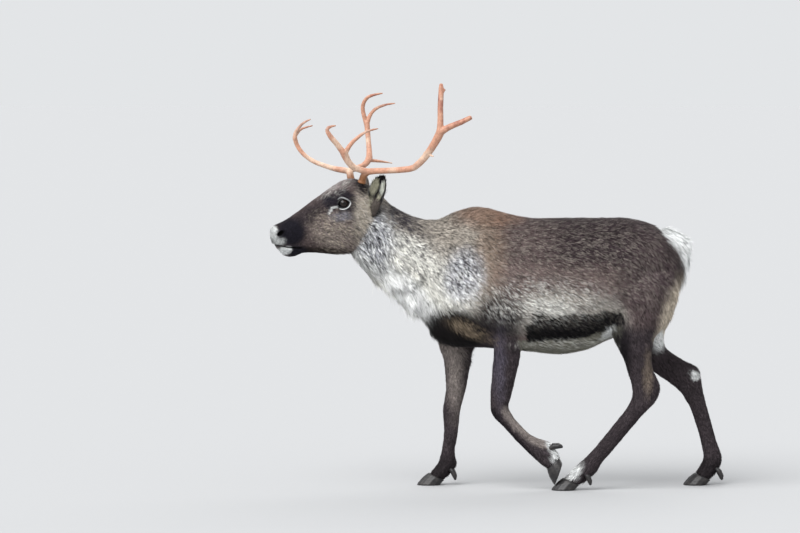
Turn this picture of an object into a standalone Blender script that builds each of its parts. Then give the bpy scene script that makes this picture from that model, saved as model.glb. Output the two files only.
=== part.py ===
"""A young bull reindeer in mid-stride, life size, as a still display model.

Metres, +Z up. The animal faces -X and its left side faces -Y. The body is modelled whole and
parted with thin cuts, and antlers, ears, eyes, hooves and tail are solids set into it.
"""

import math
import random

import bmesh
import bpy
from mathutils import Matrix, Vector

GAP = 0.0003

BODY_VOXEL = 0.0065
BODY_SMOOTH_STEPS = 6
BODY_TRIANGLES = 5400
ANTLER_VOXEL = 0.0019
ANTLER_SMOOTH_STEPS = 3
ANTLER_TRIANGLES = 920

RING_SIDES = 28
STATIONS_PER_SPAN = 4

LEFT = -1
RIGHT = 1

# Torso sections from chest to rump: x, top z, bottom z, half-widths high, middle and low
TORSO = [
    (-0.195, 0.851, 0.585, 0.050, 0.075, 0.055),
    (-0.158, 0.941, 0.551, 0.085, 0.120, 0.085),
    (-0.105, 1.027, 0.532, 0.100, 0.150, 0.115),
    (-0.045, 1.056, 0.527, 0.105, 0.170, 0.135),
    (0.019, 1.057, 0.525, 0.110, 0.185, 0.150),
    (0.094, 1.037, 0.521, 0.125, 0.200, 0.165),
    (0.188, 1.018, 0.510, 0.145, 0.215, 0.180),
    (0.300, 1.018, 0.501, 0.155, 0.220, 0.185),
    (0.394, 1.018, 0.517, 0.155, 0.215, 0.175),
    (0.469, 1.018, 0.549, 0.155, 0.205, 0.160),
    (0.544, 1.018, 0.581, 0.150, 0.190, 0.140),
    (0.619, 1.003, 0.626, 0.135, 0.170, 0.120),
    (0.675, 0.979, 0.664, 0.115, 0.150, 0.100),
    (0.724, 0.938, 0.705, 0.080, 0.115, 0.080),
    (0.757, 0.889, 0.754, 0.045, 0.065, 0.050),
    (0.772, 0.851, 0.791, 0.018, 0.024, 0.018),
]

# Neck sections from poll to shoulder: top x and z, bottom x and z, half-widths.
# On its lower side they lie half way into the long coat, which the mane's locks fill out.
NECK = [
    (-0.409, 1.121, -0.503, 0.899, 0.045, 0.060, 0.047),
    (-0.360, 1.087, -0.466, 0.843, 0.050, 0.071, 0.053),
    (-0.315, 1.056, -0.415, 0.799, 0.050, 0.077, 0.056),
    (-0.263, 1.029, -0.358, 0.757, 0.052, 0.085, 0.062),
    (-0.210, 1.014, -0.302, 0.711, 0.058, 0.095, 0.072),
    (-0.158, 1.014, -0.246, 0.658, 0.068, 0.115, 0.085),
    (-0.105, 1.037, -0.194, 0.600, 0.085, 0.138, 0.106),
    (-0.052, 1.054, -0.139, 0.547, 0.090, 0.150, 0.120),
]

# The head turns to the animal's left about an upright line through the poll
HEAD_TURN = math.radians(18.0)
POLL_X = -0.405

# Head sections: distance forward of the poll, top z, bottom z, half-widths
HEAD = [
    (0.396, 0.979, 0.930, 0.018, 0.024, 0.020),
    (0.386, 0.990, 0.913, 0.028, 0.037, 0.030),
    (0.367, 0.999, 0.892, 0.033, 0.044, 0.034),
    (0.339, 1.012, 0.874, 0.033, 0.045, 0.034),
    (0.308, 1.032, 0.872, 0.031, 0.042, 0.032),
    (0.276, 1.054, 0.884, 0.032, 0.042, 0.030),
    (0.237, 1.082, 0.886, 0.036, 0.046, 0.031),
    (0.197, 1.109, 0.883, 0.044, 0.055, 0.036),
    (0.162, 1.133, 0.879, 0.056, 0.066, 0.041),
    (0.130, 1.152, 0.875, 0.064, 0.075, 0.046),
    (0.099, 1.164, 0.879, 0.066, 0.078, 0.048),
    (0.063, 1.164, 0.892, 0.062, 0.074, 0.047),
    (0.024, 1.144, 0.911, 0.055, 0.066, 0.044),
    (-0.016, 1.117, 0.941, 0.048, 0.058, 0.040),
    (-0.055, 1.084, 0.971, 0.035, 0.042, 0.030),
]

# Leg sections from shoulder or hip to coronet: front x and z, rear x and z,
# distance from the middle plane, half-width
FORE_LEFT = [
    (-0.095, 0.851, 0.065, 0.886, 0.078, 0.050),
    (-0.150, 0.709, 0.120, 0.746, 0.105, 0.075),
    (-0.037, 0.615, 0.165, 0.652, 0.108, 0.062),
    (0.037, 0.574, 0.172, 0.589, 0.106, 0.050),
    (0.047, 0.529, 0.156, 0.529, 0.103, 0.042),
    (0.045, 0.476, 0.146, 0.476, 0.100, 0.037),
    (0.037, 0.371, 0.122, 0.371, 0.100, 0.031),
    (0.036, 0.334, 0.111, 0.334, 0.100, 0.030),
    (0.039, 0.292, 0.107, 0.311, 0.100, 0.031),
    (0.058, 0.263, 0.116, 0.291, 0.100, 0.029),
    (0.082, 0.240, 0.128, 0.272, 0.100, 0.024),
    (0.116, 0.202, 0.158, 0.238, 0.100, 0.0215),
    (0.150, 0.167, 0.189, 0.210, 0.100, 0.0215),
    (0.184, 0.133, 0.225, 0.193, 0.100, 0.026),
    (0.214, 0.105, 0.253, 0.186, 0.100, 0.029),
    (0.236, 0.088, 0.281, 0.156, 0.100, 0.029),
    (0.251, 0.079, 0.300, 0.126, 0.100, 0.029),
]
FORE_RIGHT = [
    (-0.095, 0.851, 0.065, 0.886, 0.078, 0.050),
    (-0.150, 0.709, 0.094, 0.746, 0.105, 0.075),
    (-0.158, 0.615, 0.075, 0.641, 0.108, 0.065),
    (-0.161, 0.566, 0.022, 0.566, 0.106, 0.052),
    (-0.150, 0.514, -0.022, 0.521, 0.103, 0.043),
    (-0.135, 0.469, -0.030, 0.472, 0.100, 0.037),
    (-0.128, 0.371, -0.047, 0.371, 0.100, 0.030),
    (-0.133, 0.326, -0.058, 0.330, 0.100, 0.030),
    (-0.139, 0.285, -0.069, 0.289, 0.100, 0.031),
    (-0.137, 0.247, -0.073, 0.251, 0.100, 0.028),
    (-0.135, 0.214, -0.077, 0.214, 0.100, 0.0225),
    (-0.137, 0.176, -0.082, 0.176, 0.100, 0.0215),
    (-0.142, 0.139, -0.090, 0.139, 0.100, 0.0225),
    (-0.148, 0.112, -0.088, 0.109, 0.100, 0.026),
    (-0.156, 0.086, -0.082, 0.075, 0.100, 0.030),
    (-0.172, 0.064, -0.109, 0.041, 0.100, 0.029),
    (-0.189, 0.045, -0.133, 0.019, 0.100, 0.029),
]
HIND_LEFT = [
    (0.516, 0.905, 0.700, 0.886, 0.078, 0.055),
    (0.472, 0.765, 0.742, 0.746, 0.105, 0.088),
    (0.480, 0.664, 0.705, 0.641, 0.112, 0.078),
    (0.487, 0.585, 0.656, 0.578, 0.115, 0.065),
    (0.510, 0.536, 0.643, 0.521, 0.115, 0.055),
    (0.532, 0.495, 0.641, 0.480, 0.113, 0.046),
    (0.547, 0.446, 0.649, 0.446, 0.110, 0.036),
    (0.561, 0.401, 0.669, 0.407, 0.108, 0.029),
    (0.566, 0.364, 0.675, 0.379, 0.106, 0.027),
    (0.559, 0.334, 0.660, 0.337, 0.105, 0.026),
    (0.540, 0.300, 0.619, 0.292, 0.104, 0.023),
    (0.510, 0.263, 0.578, 0.244, 0.102, 0.0215),
    (0.435, 0.169, 0.495, 0.144, 0.100, 0.0215),
    (0.397, 0.128, 0.457, 0.101, 0.100, 0.024),
    (0.364, 0.098, 0.439, 0.068, 0.100, 0.029),
    (0.337, 0.071, 0.405, 0.039, 0.100, 0.029),
    (0.315, 0.047, 0.371, 0.019, 0.100, 0.029),
]
HIND_RIGHT = [
    (0.516, 0.905, 0.700, 0.886, 0.078, 0.055),
    (0.480, 0.765, 0.750, 0.746, 0.105, 0.088),
    (0.510, 0.664, 0.735, 0.649, 0.112, 0.080),
    (0.570, 0.540, 0.705, 0.585, 0.115, 0.062),
    (0.619, 0.461, 0.705, 0.529, 0.113, 0.048),
    (0.664, 0.424, 0.739, 0.497, 0.110, 0.038),
    (0.705, 0.396, 0.780, 0.472, 0.108, 0.031),
    (0.742, 0.367, 0.818, 0.456, 0.106, 0.028),
    (0.769, 0.341, 0.836, 0.435, 0.105, 0.027),
    (0.784, 0.315, 0.847, 0.371, 0.104, 0.026),
    (0.799, 0.289, 0.859, 0.319, 0.103, 0.0235),
    (0.829, 0.199, 0.889, 0.210, 0.100, 0.021),
    (0.840, 0.154, 0.904, 0.158, 0.100, 0.0225),
    (0.847, 0.120, 0.919, 0.120, 0.100, 0.027),
    (0.847, 0.098, 0.922, 0.086, 0.100, 0.030),
    (0.833, 0.071, 0.900, 0.045, 0.100, 0.029),
    (0.818, 0.047, 0.874, 0.019, 0.100, 0.029),
]
LEGS = {
    "fore_left": (LEFT, FORE_LEFT),
    "fore_right": (RIGHT, FORE_RIGHT),
    "hind_left": (LEFT, HIND_LEFT),
    "hind_right": (RIGHT, HIND_RIGHT),
}

# Antler stems: x, distance out, z and radius along each
ANTLER_LEFT = {
    "beam": [
        (-0.449, -0.058, 1.128, 0.0140),
        (-0.437, -0.069, 1.170, 0.0135),
        (-0.424, -0.080, 1.188, 0.0130),
        (-0.397, -0.095, 1.193, 0.0116),
        (-0.349, -0.125, 1.195, 0.0112),
        (-0.263, -0.180, 1.203, 0.0116),
        (-0.232, -0.205, 1.221, 0.0124),
        (-0.202, -0.230, 1.254, 0.0131),
        (-0.176, -0.250, 1.293, 0.0142),
        (-0.156, -0.262, 1.329, 0.0155),
        (-0.150, -0.265, 1.348, 0.0150),
    ],
    "top": [
        (-0.152, -0.265, 1.340, 0.0135),
        (-0.151, -0.262, 1.385, 0.0109),
        (-0.151, -0.255, 1.426, 0.0105),
        (-0.148, -0.242, 1.497, 0.0097),
        (-0.148, -0.238, 1.519, 0.0060),
    ],
    "knob": [
        (-0.147, -0.244, 1.480, 0.0060),
        (-0.135, -0.242, 1.499, 0.0056),
    ],
    "rear": [
        (-0.154, -0.265, 1.338, 0.0140),
        (-0.116, -0.275, 1.360, 0.0112),
        (-0.079, -0.287, 1.375, 0.0101),
        (-0.037, -0.300, 1.395, 0.0085),
    ],
    "spur": [
        (-0.210, -0.225, 1.262, 0.0070),
        (-0.189, -0.245, 1.255, 0.0045),
        (-0.174, -0.251, 1.250, 0.0030),
    ],
    "brow": [
        (-0.410, -0.085, 1.190, 0.0105),
        (-0.446, -0.087, 1.197, 0.0112),
        (-0.472, -0.093, 1.207, 0.0120),
        (-0.493, -0.103, 1.228, 0.0124),
        (-0.504, -0.112, 1.251, 0.0142),
        (-0.512, -0.118, 1.268, 0.0142),
    ],
    "brow_front": [
        (-0.508, -0.118, 1.258, 0.0112),
        (-0.532, -0.128, 1.291, 0.0105),
        (-0.555, -0.138, 1.318, 0.0097),
        (-0.570, -0.142, 1.342, 0.0080),
        (-0.564, -0.140, 1.357, 0.0058),
        (-0.538, -0.133, 1.363, 0.0030),
    ],
    "brow_rear": [
        (-0.506, -0.116, 1.256, 0.0100),
        (-0.484, -0.120, 1.293, 0.0079),
        (-0.454, -0.118, 1.321, 0.0064),
        (-0.424, -0.112, 1.341, 0.0050),
        (-0.380, -0.100, 1.352, 0.0028),
    ],
}
ANTLER_RIGHT = {
    "beam": [
        (-0.474, 0.030, 1.128, 0.0140),
        (-0.487, 0.042, 1.173, 0.0135),
        (-0.486, 0.062, 1.193, 0.0124),
        (-0.461, 0.095, 1.201, 0.0109),
        (-0.435, 0.130, 1.212, 0.0112),
        (-0.418, 0.160, 1.234, 0.0127),
        (-0.417, 0.185, 1.264, 0.0105),
        (-0.420, 0.205, 1.301, 0.0097),
        (-0.424, 0.222, 1.345, 0.0101),
        (-0.427, 0.230, 1.375, 0.0112),
    ],
    "top": [
        (-0.426, 0.229, 1.362, 0.0095),
        (-0.438, 0.232, 1.401, 0.0083),
        (-0.442, 0.230, 1.431, 0.0079),
        (-0.433, 0.223, 1.456, 0.0071),
        (-0.412, 0.215, 1.473, 0.0060),
        (-0.364, 0.200, 1.484, 0.0030),
    ],
    "upper": [
        (-0.427, 0.229, 1.364, 0.0090),
        (-0.412, 0.236, 1.403, 0.0071),
        (-0.390, 0.240, 1.425, 0.0060),
        (-0.356, 0.243, 1.439, 0.0047),
        (-0.317, 0.245, 1.445, 0.0028),
    ],
    "rear": [
        (-0.424, 0.160, 1.230, 0.0085),
        (-0.397, 0.178, 1.227, 0.0060),
        (-0.364, 0.195, 1.223, 0.0045),
        (-0.328, 0.210, 1.217, 0.0028),
    ],
    "brow": [
        (-0.478, 0.057, 1.186, 0.0112),
        (-0.510, 0.057, 1.193, 0.0120),
        (-0.544, 0.062, 1.198, 0.0101),
        (-0.581, 0.070, 1.209, 0.0090),
        (-0.619, 0.078, 1.223, 0.0086),
        (-0.651, 0.085, 1.242, 0.0083),
        (-0.676, 0.090, 1.267, 0.0083),
        (-0.691, 0.092, 1.293, 0.0083),
        (-0.698, 0.090, 1.317, 0.0086),
    ],
    "brow_front": [
        (-0.697, 0.090, 1.310, 0.0086),
        (-0.694, 0.087, 1.332, 0.0078),
        (-0.684, 0.080, 1.350, 0.0062),
        (-0.664, 0.070, 1.371, 0.0048),
        (-0.635, 0.060, 1.386, 0.0028),
    ],
    "brow_rear": [
        (-0.696, 0.089, 1.322, 0.0070),
        (-0.677, 0.096, 1.345, 0.0050),
        (-0.656, 0.101, 1.354, 0.0040),
        (-0.628, 0.107, 1.361, 0.0027),
    ],
}
ANTLER_SIDES = 12
ANTLER_CUT_REACH = 3.2
SEAT_PLACE = 0.5
SEAT_RADIUS = 0.019
SEAT_HEIGHT = 0.03
SEAT_TRIM = 0.08
PEDICLE_RADIUS = 0.0145
PEDICLE_ROOT = 0.03
PEDICLE_FLARE = 1.3
PEDICLE_RISE = 0.010
PEDICLE_STEPS = 4
BURR_LOW = (-0.004, 1.25)
BURR_HIGH = (0.006, 1.20)
BURR_STEPS = 3

# Where each antler is split, and a point inside each piece: a stem and a place along its rows
ANTLER_CUTS = {
    "left": [
        ("beam", 3.4), ("beam", 5.3), ("top", 0.8), ("rear", 0.9),
        ("brow", 1.3), ("brow_front", 0.9), ("brow_rear", 0.9),
    ],
    "right": [
        ("beam", 2.7), ("beam", 5.7), ("rear", 0.9), ("top", 1.3), ("upper", 1.2),
        ("brow", 1.2), ("brow", 5.2), ("brow_front", 2.0), ("brow_rear", 1.0),
    ],
}
ANTLER_PIECES = {
    "left": {
        "base": ("beam", 2.0),
        "beam_lower": ("beam", 4.3),
        "beam_upper": ("beam", 7.5),
        "tine_top": ("top", 2.0),
        "tine_rear": ("rear", 2.0),
        "brow": ("brow", 3.0),
        "brow_front": ("brow_front", 2.5),
        "brow_rear": ("brow_rear", 2.0),
    },
    "right": {
        "base": ("beam", 2.0),
        "beam_lower": ("beam", 4.0),
        "beam_upper": ("beam", 7.5),
        "tine_rear": ("rear", 2.0),
        "tine_top": ("top", 3.0),
        "tine_upper": ("upper", 2.5),
        "brow": ("brow", 3.0),
        "brow_palm": ("brow", 7.0),
        "brow_front": ("brow_front", 3.0),
        "brow_rear": ("brow_rear", 2.0),
    },
}

# Cuts that part the body: a point, the direction across the cut, and its size
HEAD_CUT = ((-0.380, 0, 1.040), (0.894, 0.290, -0.350), 0.52)
NECK_CUT = ((-0.205, 0, 0.820), (0.976, 0, -0.220), 0.60)
LEG_TOP_REACH = 0.165
LEG_LOW_REACH = 0.11
LEG_CUTS = {
    "fore_left": (5, 9),
    "fore_right": (5, 9),
    "hind_left": (4, 10),
    "hind_right": (3, 10),
}

# Features of the head, as forward of the poll, out from the middle plane, height
BALL_SIDES = 16
EYE_FORWARD = 0.1314
EYE_HEIGHT = 1.0725
EYE_OUT = 0.0600
EYE_RADIUS = 0.0180
BROW_OUT = 0.046
BROW_RADII = (0.036, 0.029, 0.029)
LID_OUT = 0.0665
LID_LENGTH = 0.0190
LID_RISE = 0.0165
LID_RADIUS = 0.0042
LID_SIDES = 20
LID_TUBE_SIDES = 6
LID_UPPER = 0.25
NOSTRIL = (0.366, 0.0410, 0.9625)
NOSTRIL_RADII = (0.0120, 0.0100, 0.0055)
NOSTRIL_TILT = math.radians(25)
MOUTH_LINE = [(0.298, 0.9070), (0.320, 0.9085), (0.345, 0.9110), (0.370, 0.9160), (0.385, 0.9215)]
MOUTH_FRONT = 0.3935
MOUTH_RADIUS = 0.0022
GROOVE_SIDES = 8
EAR_ROOT = (0.016, 0.046, 1.030)
EAR_TIP = (-0.010, 0.114, 1.175)
EAR_FACING = (0.75, 0.65)
EAR_STATIONS = 1
EAR_HALF_SIDES = 4
EAR_CLEAR = 0.0025
EAR_EDGE = 0.96
POCKET_SIDES = 12
POCKET_SQUARENESS = 0.4

# Ear sections: share of its length, half-width, depth of the cup, thickness
EAR = [
    (0.00, 0.0150, 0.000, 0.0270),
    (0.20, 0.0210, 0.006, 0.0260),
    (0.34, 0.0290, 0.020, 0.0120),
    (0.50, 0.0355, 0.030, 0.0070),
    (0.70, 0.0360, 0.030, 0.0050),
    (0.86, 0.0270, 0.021, 0.0045),
    (0.96, 0.0150, 0.009, 0.0040),
    (1.00, 0.0060, 0.002, 0.0030),
]

# Feet: heel x, y, z and pitch of the sole; lengths from the heel
FEET = {
    "fore_left": (0.307, -0.100, 0.100, math.radians(-70.4)),
    "fore_right": (-0.150, 0.100, 0.0, 0.0),
    "hind_left": (0.352, -0.100, 0.0, 0.0),
    "hind_right": (0.859, 0.100, 0.0, 0.0),
}
FOOT_TRIM = 0.12
LEG_RUN_ON = 0.6
CLAW_LENGTH = 0.086
CLAW_WIDTH = 0.041
CORONET_HEEL = (-0.018, 0.019)
CORONET_TOE = (0.039, 0.046)
CORONET_WIDTH = 0.030
CLAW_SPLIT = 0.002
CLAW_SIDES = 12
CLAW_BULGE = 0.8
CLAW_HOLLOW = 0.25
TOE_IN = 0.010

# Claw sections: share of the way from sole to coronet, swelling
CLAW_SHAPE = [(0.0, 0.0), (0.10, 0.0015), (0.5, 0.0015), (0.85, 0.0012), (1.0, 0.0)]

# Dewclaw along its length: back from the heel, out, up, radius
DEWCLAW = [
    (-0.036, 0.013, 0.066, 0.0080),
    (-0.050, 0.017, 0.052, 0.0110),
    (-0.058, 0.020, 0.034, 0.0095),
    (-0.060, 0.021, 0.020, 0.0040),
]
DEWCLAW_SIDES = 8

# Tail sections: front x and z, rear x and z, half-width
TAIL = [
    (0.672, 0.955, 0.690, 0.985, 0.022),
    (0.700, 0.935, 0.722, 0.981, 0.032),
    (0.725, 0.910, 0.757, 0.968, 0.042),
    (0.742, 0.880, 0.784, 0.945, 0.046),
    (0.750, 0.850, 0.789, 0.895, 0.046),
    (0.752, 0.820, 0.785, 0.850, 0.040),
    (0.752, 0.795, 0.777, 0.812, 0.028),
    (0.755, 0.780, 0.764, 0.786, 0.010),
]

TAIL_SIDES = 12
TAIL_GAP = 0.0010
TAIL_CLEAR = 0.0006
TAIL_STATIONS = 2
TAIL_COAT_STARTS = 6
TAIL_CORE_MOST = 0.35
TAIL_CORE_LEAST = 0.55
TAIL_CORE_SIDE = 0.3

# Locks of the long coat: share of the length, share of the width, share of the rise off the core
LOCK_SHAPE = [(0.0, 0.70, -1.0), (0.30, 1.00, 0.35), (0.68, 0.72, 0.80), (1.0, 0.16, 1.0)]
LOCK_ROOT = 0.008
LOCK_THICKNESS = 0.008
LOCK_SWAY = 0.16
LOCK_VARY = 0.14
MANE_SEED = 52
MANE_ROWS = 6
MANE_FIRST = 0.55
MANE_LAST = 5.2
MANE_COLUMNS = 6
MANE_SPREAD = math.radians(80)
MANE_LENGTH = 0.108
MANE_WIDTH = 0.054
MANE_RISE = 0.014
MANE_LIE_THROAT = (0.74, 0.0, -0.67)
MANE_LIE_CHEST = (0.40, 0.0, -0.92)
MANE_CLEAR = 0.006
MANE_HEAD_CLEAR = 0.012
MANE_SHORTEST = 0.35
MANE_STAGGER = 0.15
MANE_SCATTER = 0.05
TAIL_SEED = 43
TAIL_COAT = 0.010
TAIL_ROWS = [0.30, 0.50, 0.68]
TAIL_COLUMNS = (-0.55, 0.0, 0.55)
TAIL_STAGGER = 0.12
TAIL_SCATTER = 0.06
TAIL_REACH = 0.4
TAIL_GATHER = 0.6
TAIL_LENGTH = 0.070
TAIL_WIDTH = 0.034
TAIL_RISE = 0.009

# Finishes: colour and roughness; the first part of a node's name that fits picks one
FINISHES = {
    "brown_coat": ((0.078, 0.058, 0.052), 0.95),
    "grey_coat": ((0.30, 0.26, 0.22), 0.95),
    "leg_coat": ((0.10, 0.085, 0.075), 0.95),
    "white_coat": ((0.80, 0.80, 0.77), 0.95),
    "face_coat": ((0.16, 0.12, 0.10), 0.95),
    "antler": ((0.62, 0.40, 0.29), 0.60),
    "hoof": ((0.020, 0.020, 0.022), 0.50),
    "eye": ((0.008, 0.006, 0.006), 0.10),
}
NODE_FINISH = [
    ("antler", "antler"),
    ("claw", "hoof"),
    ("eye", "eye"),
    ("ear", "grey_coat"),
    ("head", "face_coat"),
    ("neck", "grey_coat"),
    ("tail", "white_coat"),
    ("torso", "brown_coat"),
    ("", "leg_coat"),
]
SHARP_ANGLE = math.radians(50)


def clear_scene():
    """Empties the file of objects."""
    for item in list(bpy.data.objects):
        bpy.data.objects.remove(item, do_unlink=True)


def material(name, colour, roughness):
    """One plain finish."""
    finish = bpy.data.materials.new(name)
    finish.use_nodes = True
    shader = finish.node_tree.nodes["Principled BSDF"]
    shader.inputs["Base Color"].default_value = (*colour, 1.0)
    shader.inputs["Roughness"].default_value = roughness
    shader.inputs["Metallic"].default_value = 0.0
    return finish


def blend_rows(rows, steps):
    """Rows of numbers, with smooth in-between rows added (a Catmull-Rom curve)."""
    smooth = []
    for i in range(len(rows) - 1):
        before = rows[max(i - 1, 0)]
        start = rows[i]
        end = rows[i + 1]
        after = rows[min(i + 2, len(rows) - 1)]
        for step in range(steps):
            t = step / steps
            smooth.append([
                0.5 * (2 * p1 + (p2 - p0) * t
                       + (2 * p0 - 5 * p1 + 4 * p2 - p3) * t ** 2
                       + (3 * p1 - p0 - 3 * p2 + p3) * t ** 3)
                for p0, p1, p2, p3 in zip(before, start, end, after)
            ])
    smooth.append(list(rows[-1]))
    return smooth


def side_width(height, high, middle, low):
    """Half-width of a section at a height from -1 (bottom) to 1 (top)."""
    shoulder = 0.7
    edge = high if height > 0 else low
    full = edge / (middle * math.sqrt(1 - shoulder ** 2))
    share = min(abs(height) / shoulder, 1.0)
    return middle * math.sqrt(max(1 - height ** 2, 0.0)) * (1 + (full - 1) * share)


def section(top, bottom, widths, side=0.0, sides=RING_SIDES):
    """A closed ring of points between a top and a bottom point, widest at its middle."""
    centre = (top + bottom) / 2
    half = (top - bottom) / 2
    ring = []
    for i in range(sides):
        turn = 2 * math.pi * i / sides
        height = math.cos(turn)
        across = math.copysign(side_width(height, *widths), math.sin(turn))
        ring.append(centre + half * height + Vector((0, side + across, 0)))
    return ring


def add_loft(mesh, rings):
    """Adds a closed skin over a row of rings."""
    rows = [[mesh.verts.new(point) for point in ring] for ring in rings]
    count = len(rows[0])
    faces = []
    for one, two in zip(rows, rows[1:]):
        for i in range(count):
            j = (i + 1) % count
            faces.append(mesh.faces.new((one[i], one[j], two[j])))
            faces.append(mesh.faces.new((one[i], two[j], two[i])))
    faces.append(mesh.faces.new(tuple(reversed(rows[0]))))
    faces.append(mesh.faces.new(tuple(rows[-1])))
    bmesh.ops.recalc_face_normals(mesh, faces=faces)


def torso_rings():
    """Sections of the trunk, chest to rump."""
    return [
        section(Vector((x, 0, top)), Vector((x, 0, bottom)), widths)
        for x, top, bottom, *widths in blend_rows(TORSO, STATIONS_PER_SPAN)
    ]


def neck_rings():
    """Sections of the neck, poll to shoulder."""
    return [
        section(Vector((top_x, 0, top)), Vector((low_x, 0, low)), widths)
        for top_x, top, low_x, low, *widths in blend_rows(NECK, STATIONS_PER_SPAN)
    ]


def head_point(forward, out, height):
    """A point of the turned head: forward of the poll, out to the animal's left, height."""
    return Vector((
        POLL_X - forward * math.cos(HEAD_TURN) + out * math.sin(HEAD_TURN),
        -forward * math.sin(HEAD_TURN) - out * math.cos(HEAD_TURN),
        height,
    ))


def head_rings():
    """Sections of the head, nose to poll, turned with it."""
    rings = []
    for forward, top, bottom, *widths in blend_rows(HEAD, STATIONS_PER_SPAN):
        flat = section(Vector((0, 0, top)), Vector((0, 0, bottom)), widths)
        rings.append([head_point(forward, -point.y, point.z) for point in flat])
    return rings


def leg_rings(side, rows):
    """Sections of a leg, each between its front and rear edge."""
    rings = []
    last = [end + (end - before) * LEG_RUN_ON for before, end in zip(rows[-2], rows[-1])]
    for front_x, front_z, rear_x, rear_z, out, width in blend_rows([*rows, last], STATIONS_PER_SPAN):
        front = Vector((front_x, 0, front_z))
        rear = Vector((rear_x, 0, rear_z))
        even = width * math.sqrt(0.5)
        rings.append(section(front, rear, (even, width, even), side * out))
    return rings


def tube_rings(rows, steps, sides, grow=0.0):
    """Round sections along a smooth curve through x, y, z and radius rows."""
    curve = blend_rows(rows, steps)
    points = [Vector(row[:3]) for row in curve]
    rings = []
    across = None
    for i, point in enumerate(points):
        along = points[min(i + 1, len(points) - 1)] - points[max(i - 1, 0)]
        along.normalize()
        if across is None:
            across = along.orthogonal()
        across = (across - along * across.dot(along)).normalized()
        third = along.cross(across)
        radius = curve[i][3] + grow
        rings.append([
            point + radius * (across * math.cos(turn) + third * math.sin(turn))
            for turn in (2 * math.pi * k / sides for k in range(sides))
        ])
    return rings


def mesh_object(name, fill):
    """An object whose mesh is filled in by a function of an empty bmesh."""
    mesh = bmesh.new()
    fill(mesh)
    data = bpy.data.meshes.new(name)
    mesh.to_mesh(data)
    mesh.free()
    item = bpy.data.objects.new(name, data)
    bpy.context.collection.objects.link(item)
    return item


def settle(item):
    """Applies an object's modifiers to its mesh."""
    bpy.context.view_layer.update()
    graph = bpy.context.evaluated_depsgraph_get()
    done = bpy.data.meshes.new_from_object(item.evaluated_get(graph))
    item.modifiers.clear()
    item.data = done


def fuse(item, voxel, smooth_steps):
    """Fuses crossing closed skins of an object into one even skin."""
    remesh = item.modifiers.new("fuse", "REMESH")
    remesh.mode = "VOXEL"
    remesh.voxel_size = voxel
    smooth = item.modifiers.new("smooth", "SMOOTH")
    smooth.iterations = smooth_steps
    settle(item)


def thin_out(item, triangles):
    """Lowers an object's triangle count."""
    faces = sum(len(face.vertices) - 2 for face in item.data.polygons)
    fewer = item.modifiers.new("fewer", "DECIMATE")
    fewer.ratio = min(triangles / faces, 1.0)
    settle(item)


def combine(item, others, operation, solver="EXACT"):
    """Unions, subtracts or intersects other objects with one, then removes them."""
    tools = bpy.data.collections.new("tools")
    for other in others:
        tools.objects.link(other)
    change = item.modifiers.new("change", "BOOLEAN")
    change.operation = operation
    change.operand_type = "COLLECTION"
    change.collection = tools
    change.solver = solver
    settle(item)
    for other in others:
        bpy.data.objects.remove(other, do_unlink=True)
    bpy.data.collections.remove(tools)


def islands(item):
    """The mesh's separate closed surfaces, as lists of face indices."""
    mesh = bmesh.new()
    mesh.from_mesh(item.data)
    mesh.faces.ensure_lookup_table()
    seen = set()
    found = []
    for face in mesh.faces:
        if face.index in seen:
            continue
        seen.add(face.index)
        stack = [face]
        group = []
        while stack:
            current = stack.pop()
            group.append(current.index)
            for edge in current.edges:
                for other in edge.link_faces:
                    if other.index not in seen:
                        seen.add(other.index)
                        stack.append(other)
        found.append(group)
    mesh.free()
    return found


def island_object(name, item, group):
    """A new object from some of another's faces."""
    keep = set(group)
    mesh = bmesh.new()
    mesh.from_mesh(item.data)
    spare = [face for face in mesh.faces if face.index not in keep]
    bmesh.ops.delete(mesh, geom=spare, context="FACES")
    data = bpy.data.meshes.new(name)
    mesh.to_mesh(data)
    mesh.free()
    data.materials.clear()
    piece = bpy.data.objects.new(name, data)
    bpy.context.collection.objects.link(piece)
    return piece


def keep_largest(item):
    """Drops loose scraps and sealed hollows, leaving the largest closed surface."""
    groups = islands(item)
    if len(groups) == 1:
        return
    keep = set(max(groups, key=len))
    mesh = bmesh.new()
    mesh.from_mesh(item.data)
    spare = [face for face in mesh.faces if face.index not in keep]
    bmesh.ops.delete(mesh, geom=spare, context="FACES")
    mesh.to_mesh(item.data)
    mesh.free()


def slab(point, normal, reach):
    """A thin square plate across a limb, which parts it."""
    turn = Vector(normal).normalized().to_track_quat("Z", "Y").to_matrix().to_4x4()
    place = Matrix.Translation(Vector(point)) @ turn @ Matrix.Diagonal((reach, reach, GAP, 1))
    return mesh_object("slab", lambda mesh: bmesh.ops.create_cube(mesh, size=1.0, matrix=place))


def part_with(item, cuts, names):
    """Cuts an object with thin plates and names the pieces by a point inside each."""
    combine(item, [slab(*cut) for cut in cuts], "DIFFERENCE")
    groups = islands(item)
    homes = {}
    for number, group in enumerate(groups):
        for index in group:
            for vertex in item.data.polygons[index].vertices:
                homes[vertex] = number
    pieces = {}
    for name, point in names.items():
        spot = Vector(point)
        nearest = min(item.data.vertices, key=lambda vertex: (vertex.co - spot).length)
        pieces[name] = island_object(name, item, groups[homes[nearest.index]])
    bpy.data.objects.remove(item, do_unlink=True)
    return pieces


def head_half_width(forward, height):
    """Half-width of the head at a distance forward of the poll and a height."""
    rows = blend_rows(HEAD, STATIONS_PER_SPAN)
    row = min(rows, key=lambda item: abs(item[0] - forward))
    middle = (row[1] + row[2]) / 2
    half = (row[1] - row[2]) / 2
    return side_width((height - middle) / half, *row[3:])


def head_place(forward, out, height):
    """The turned head's frame at a point of it: X back, Y to the right, Z up."""
    return Matrix.Translation(head_point(forward, out, height)) @ Matrix.Rotation(HEAD_TURN, 4, "Z")


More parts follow.
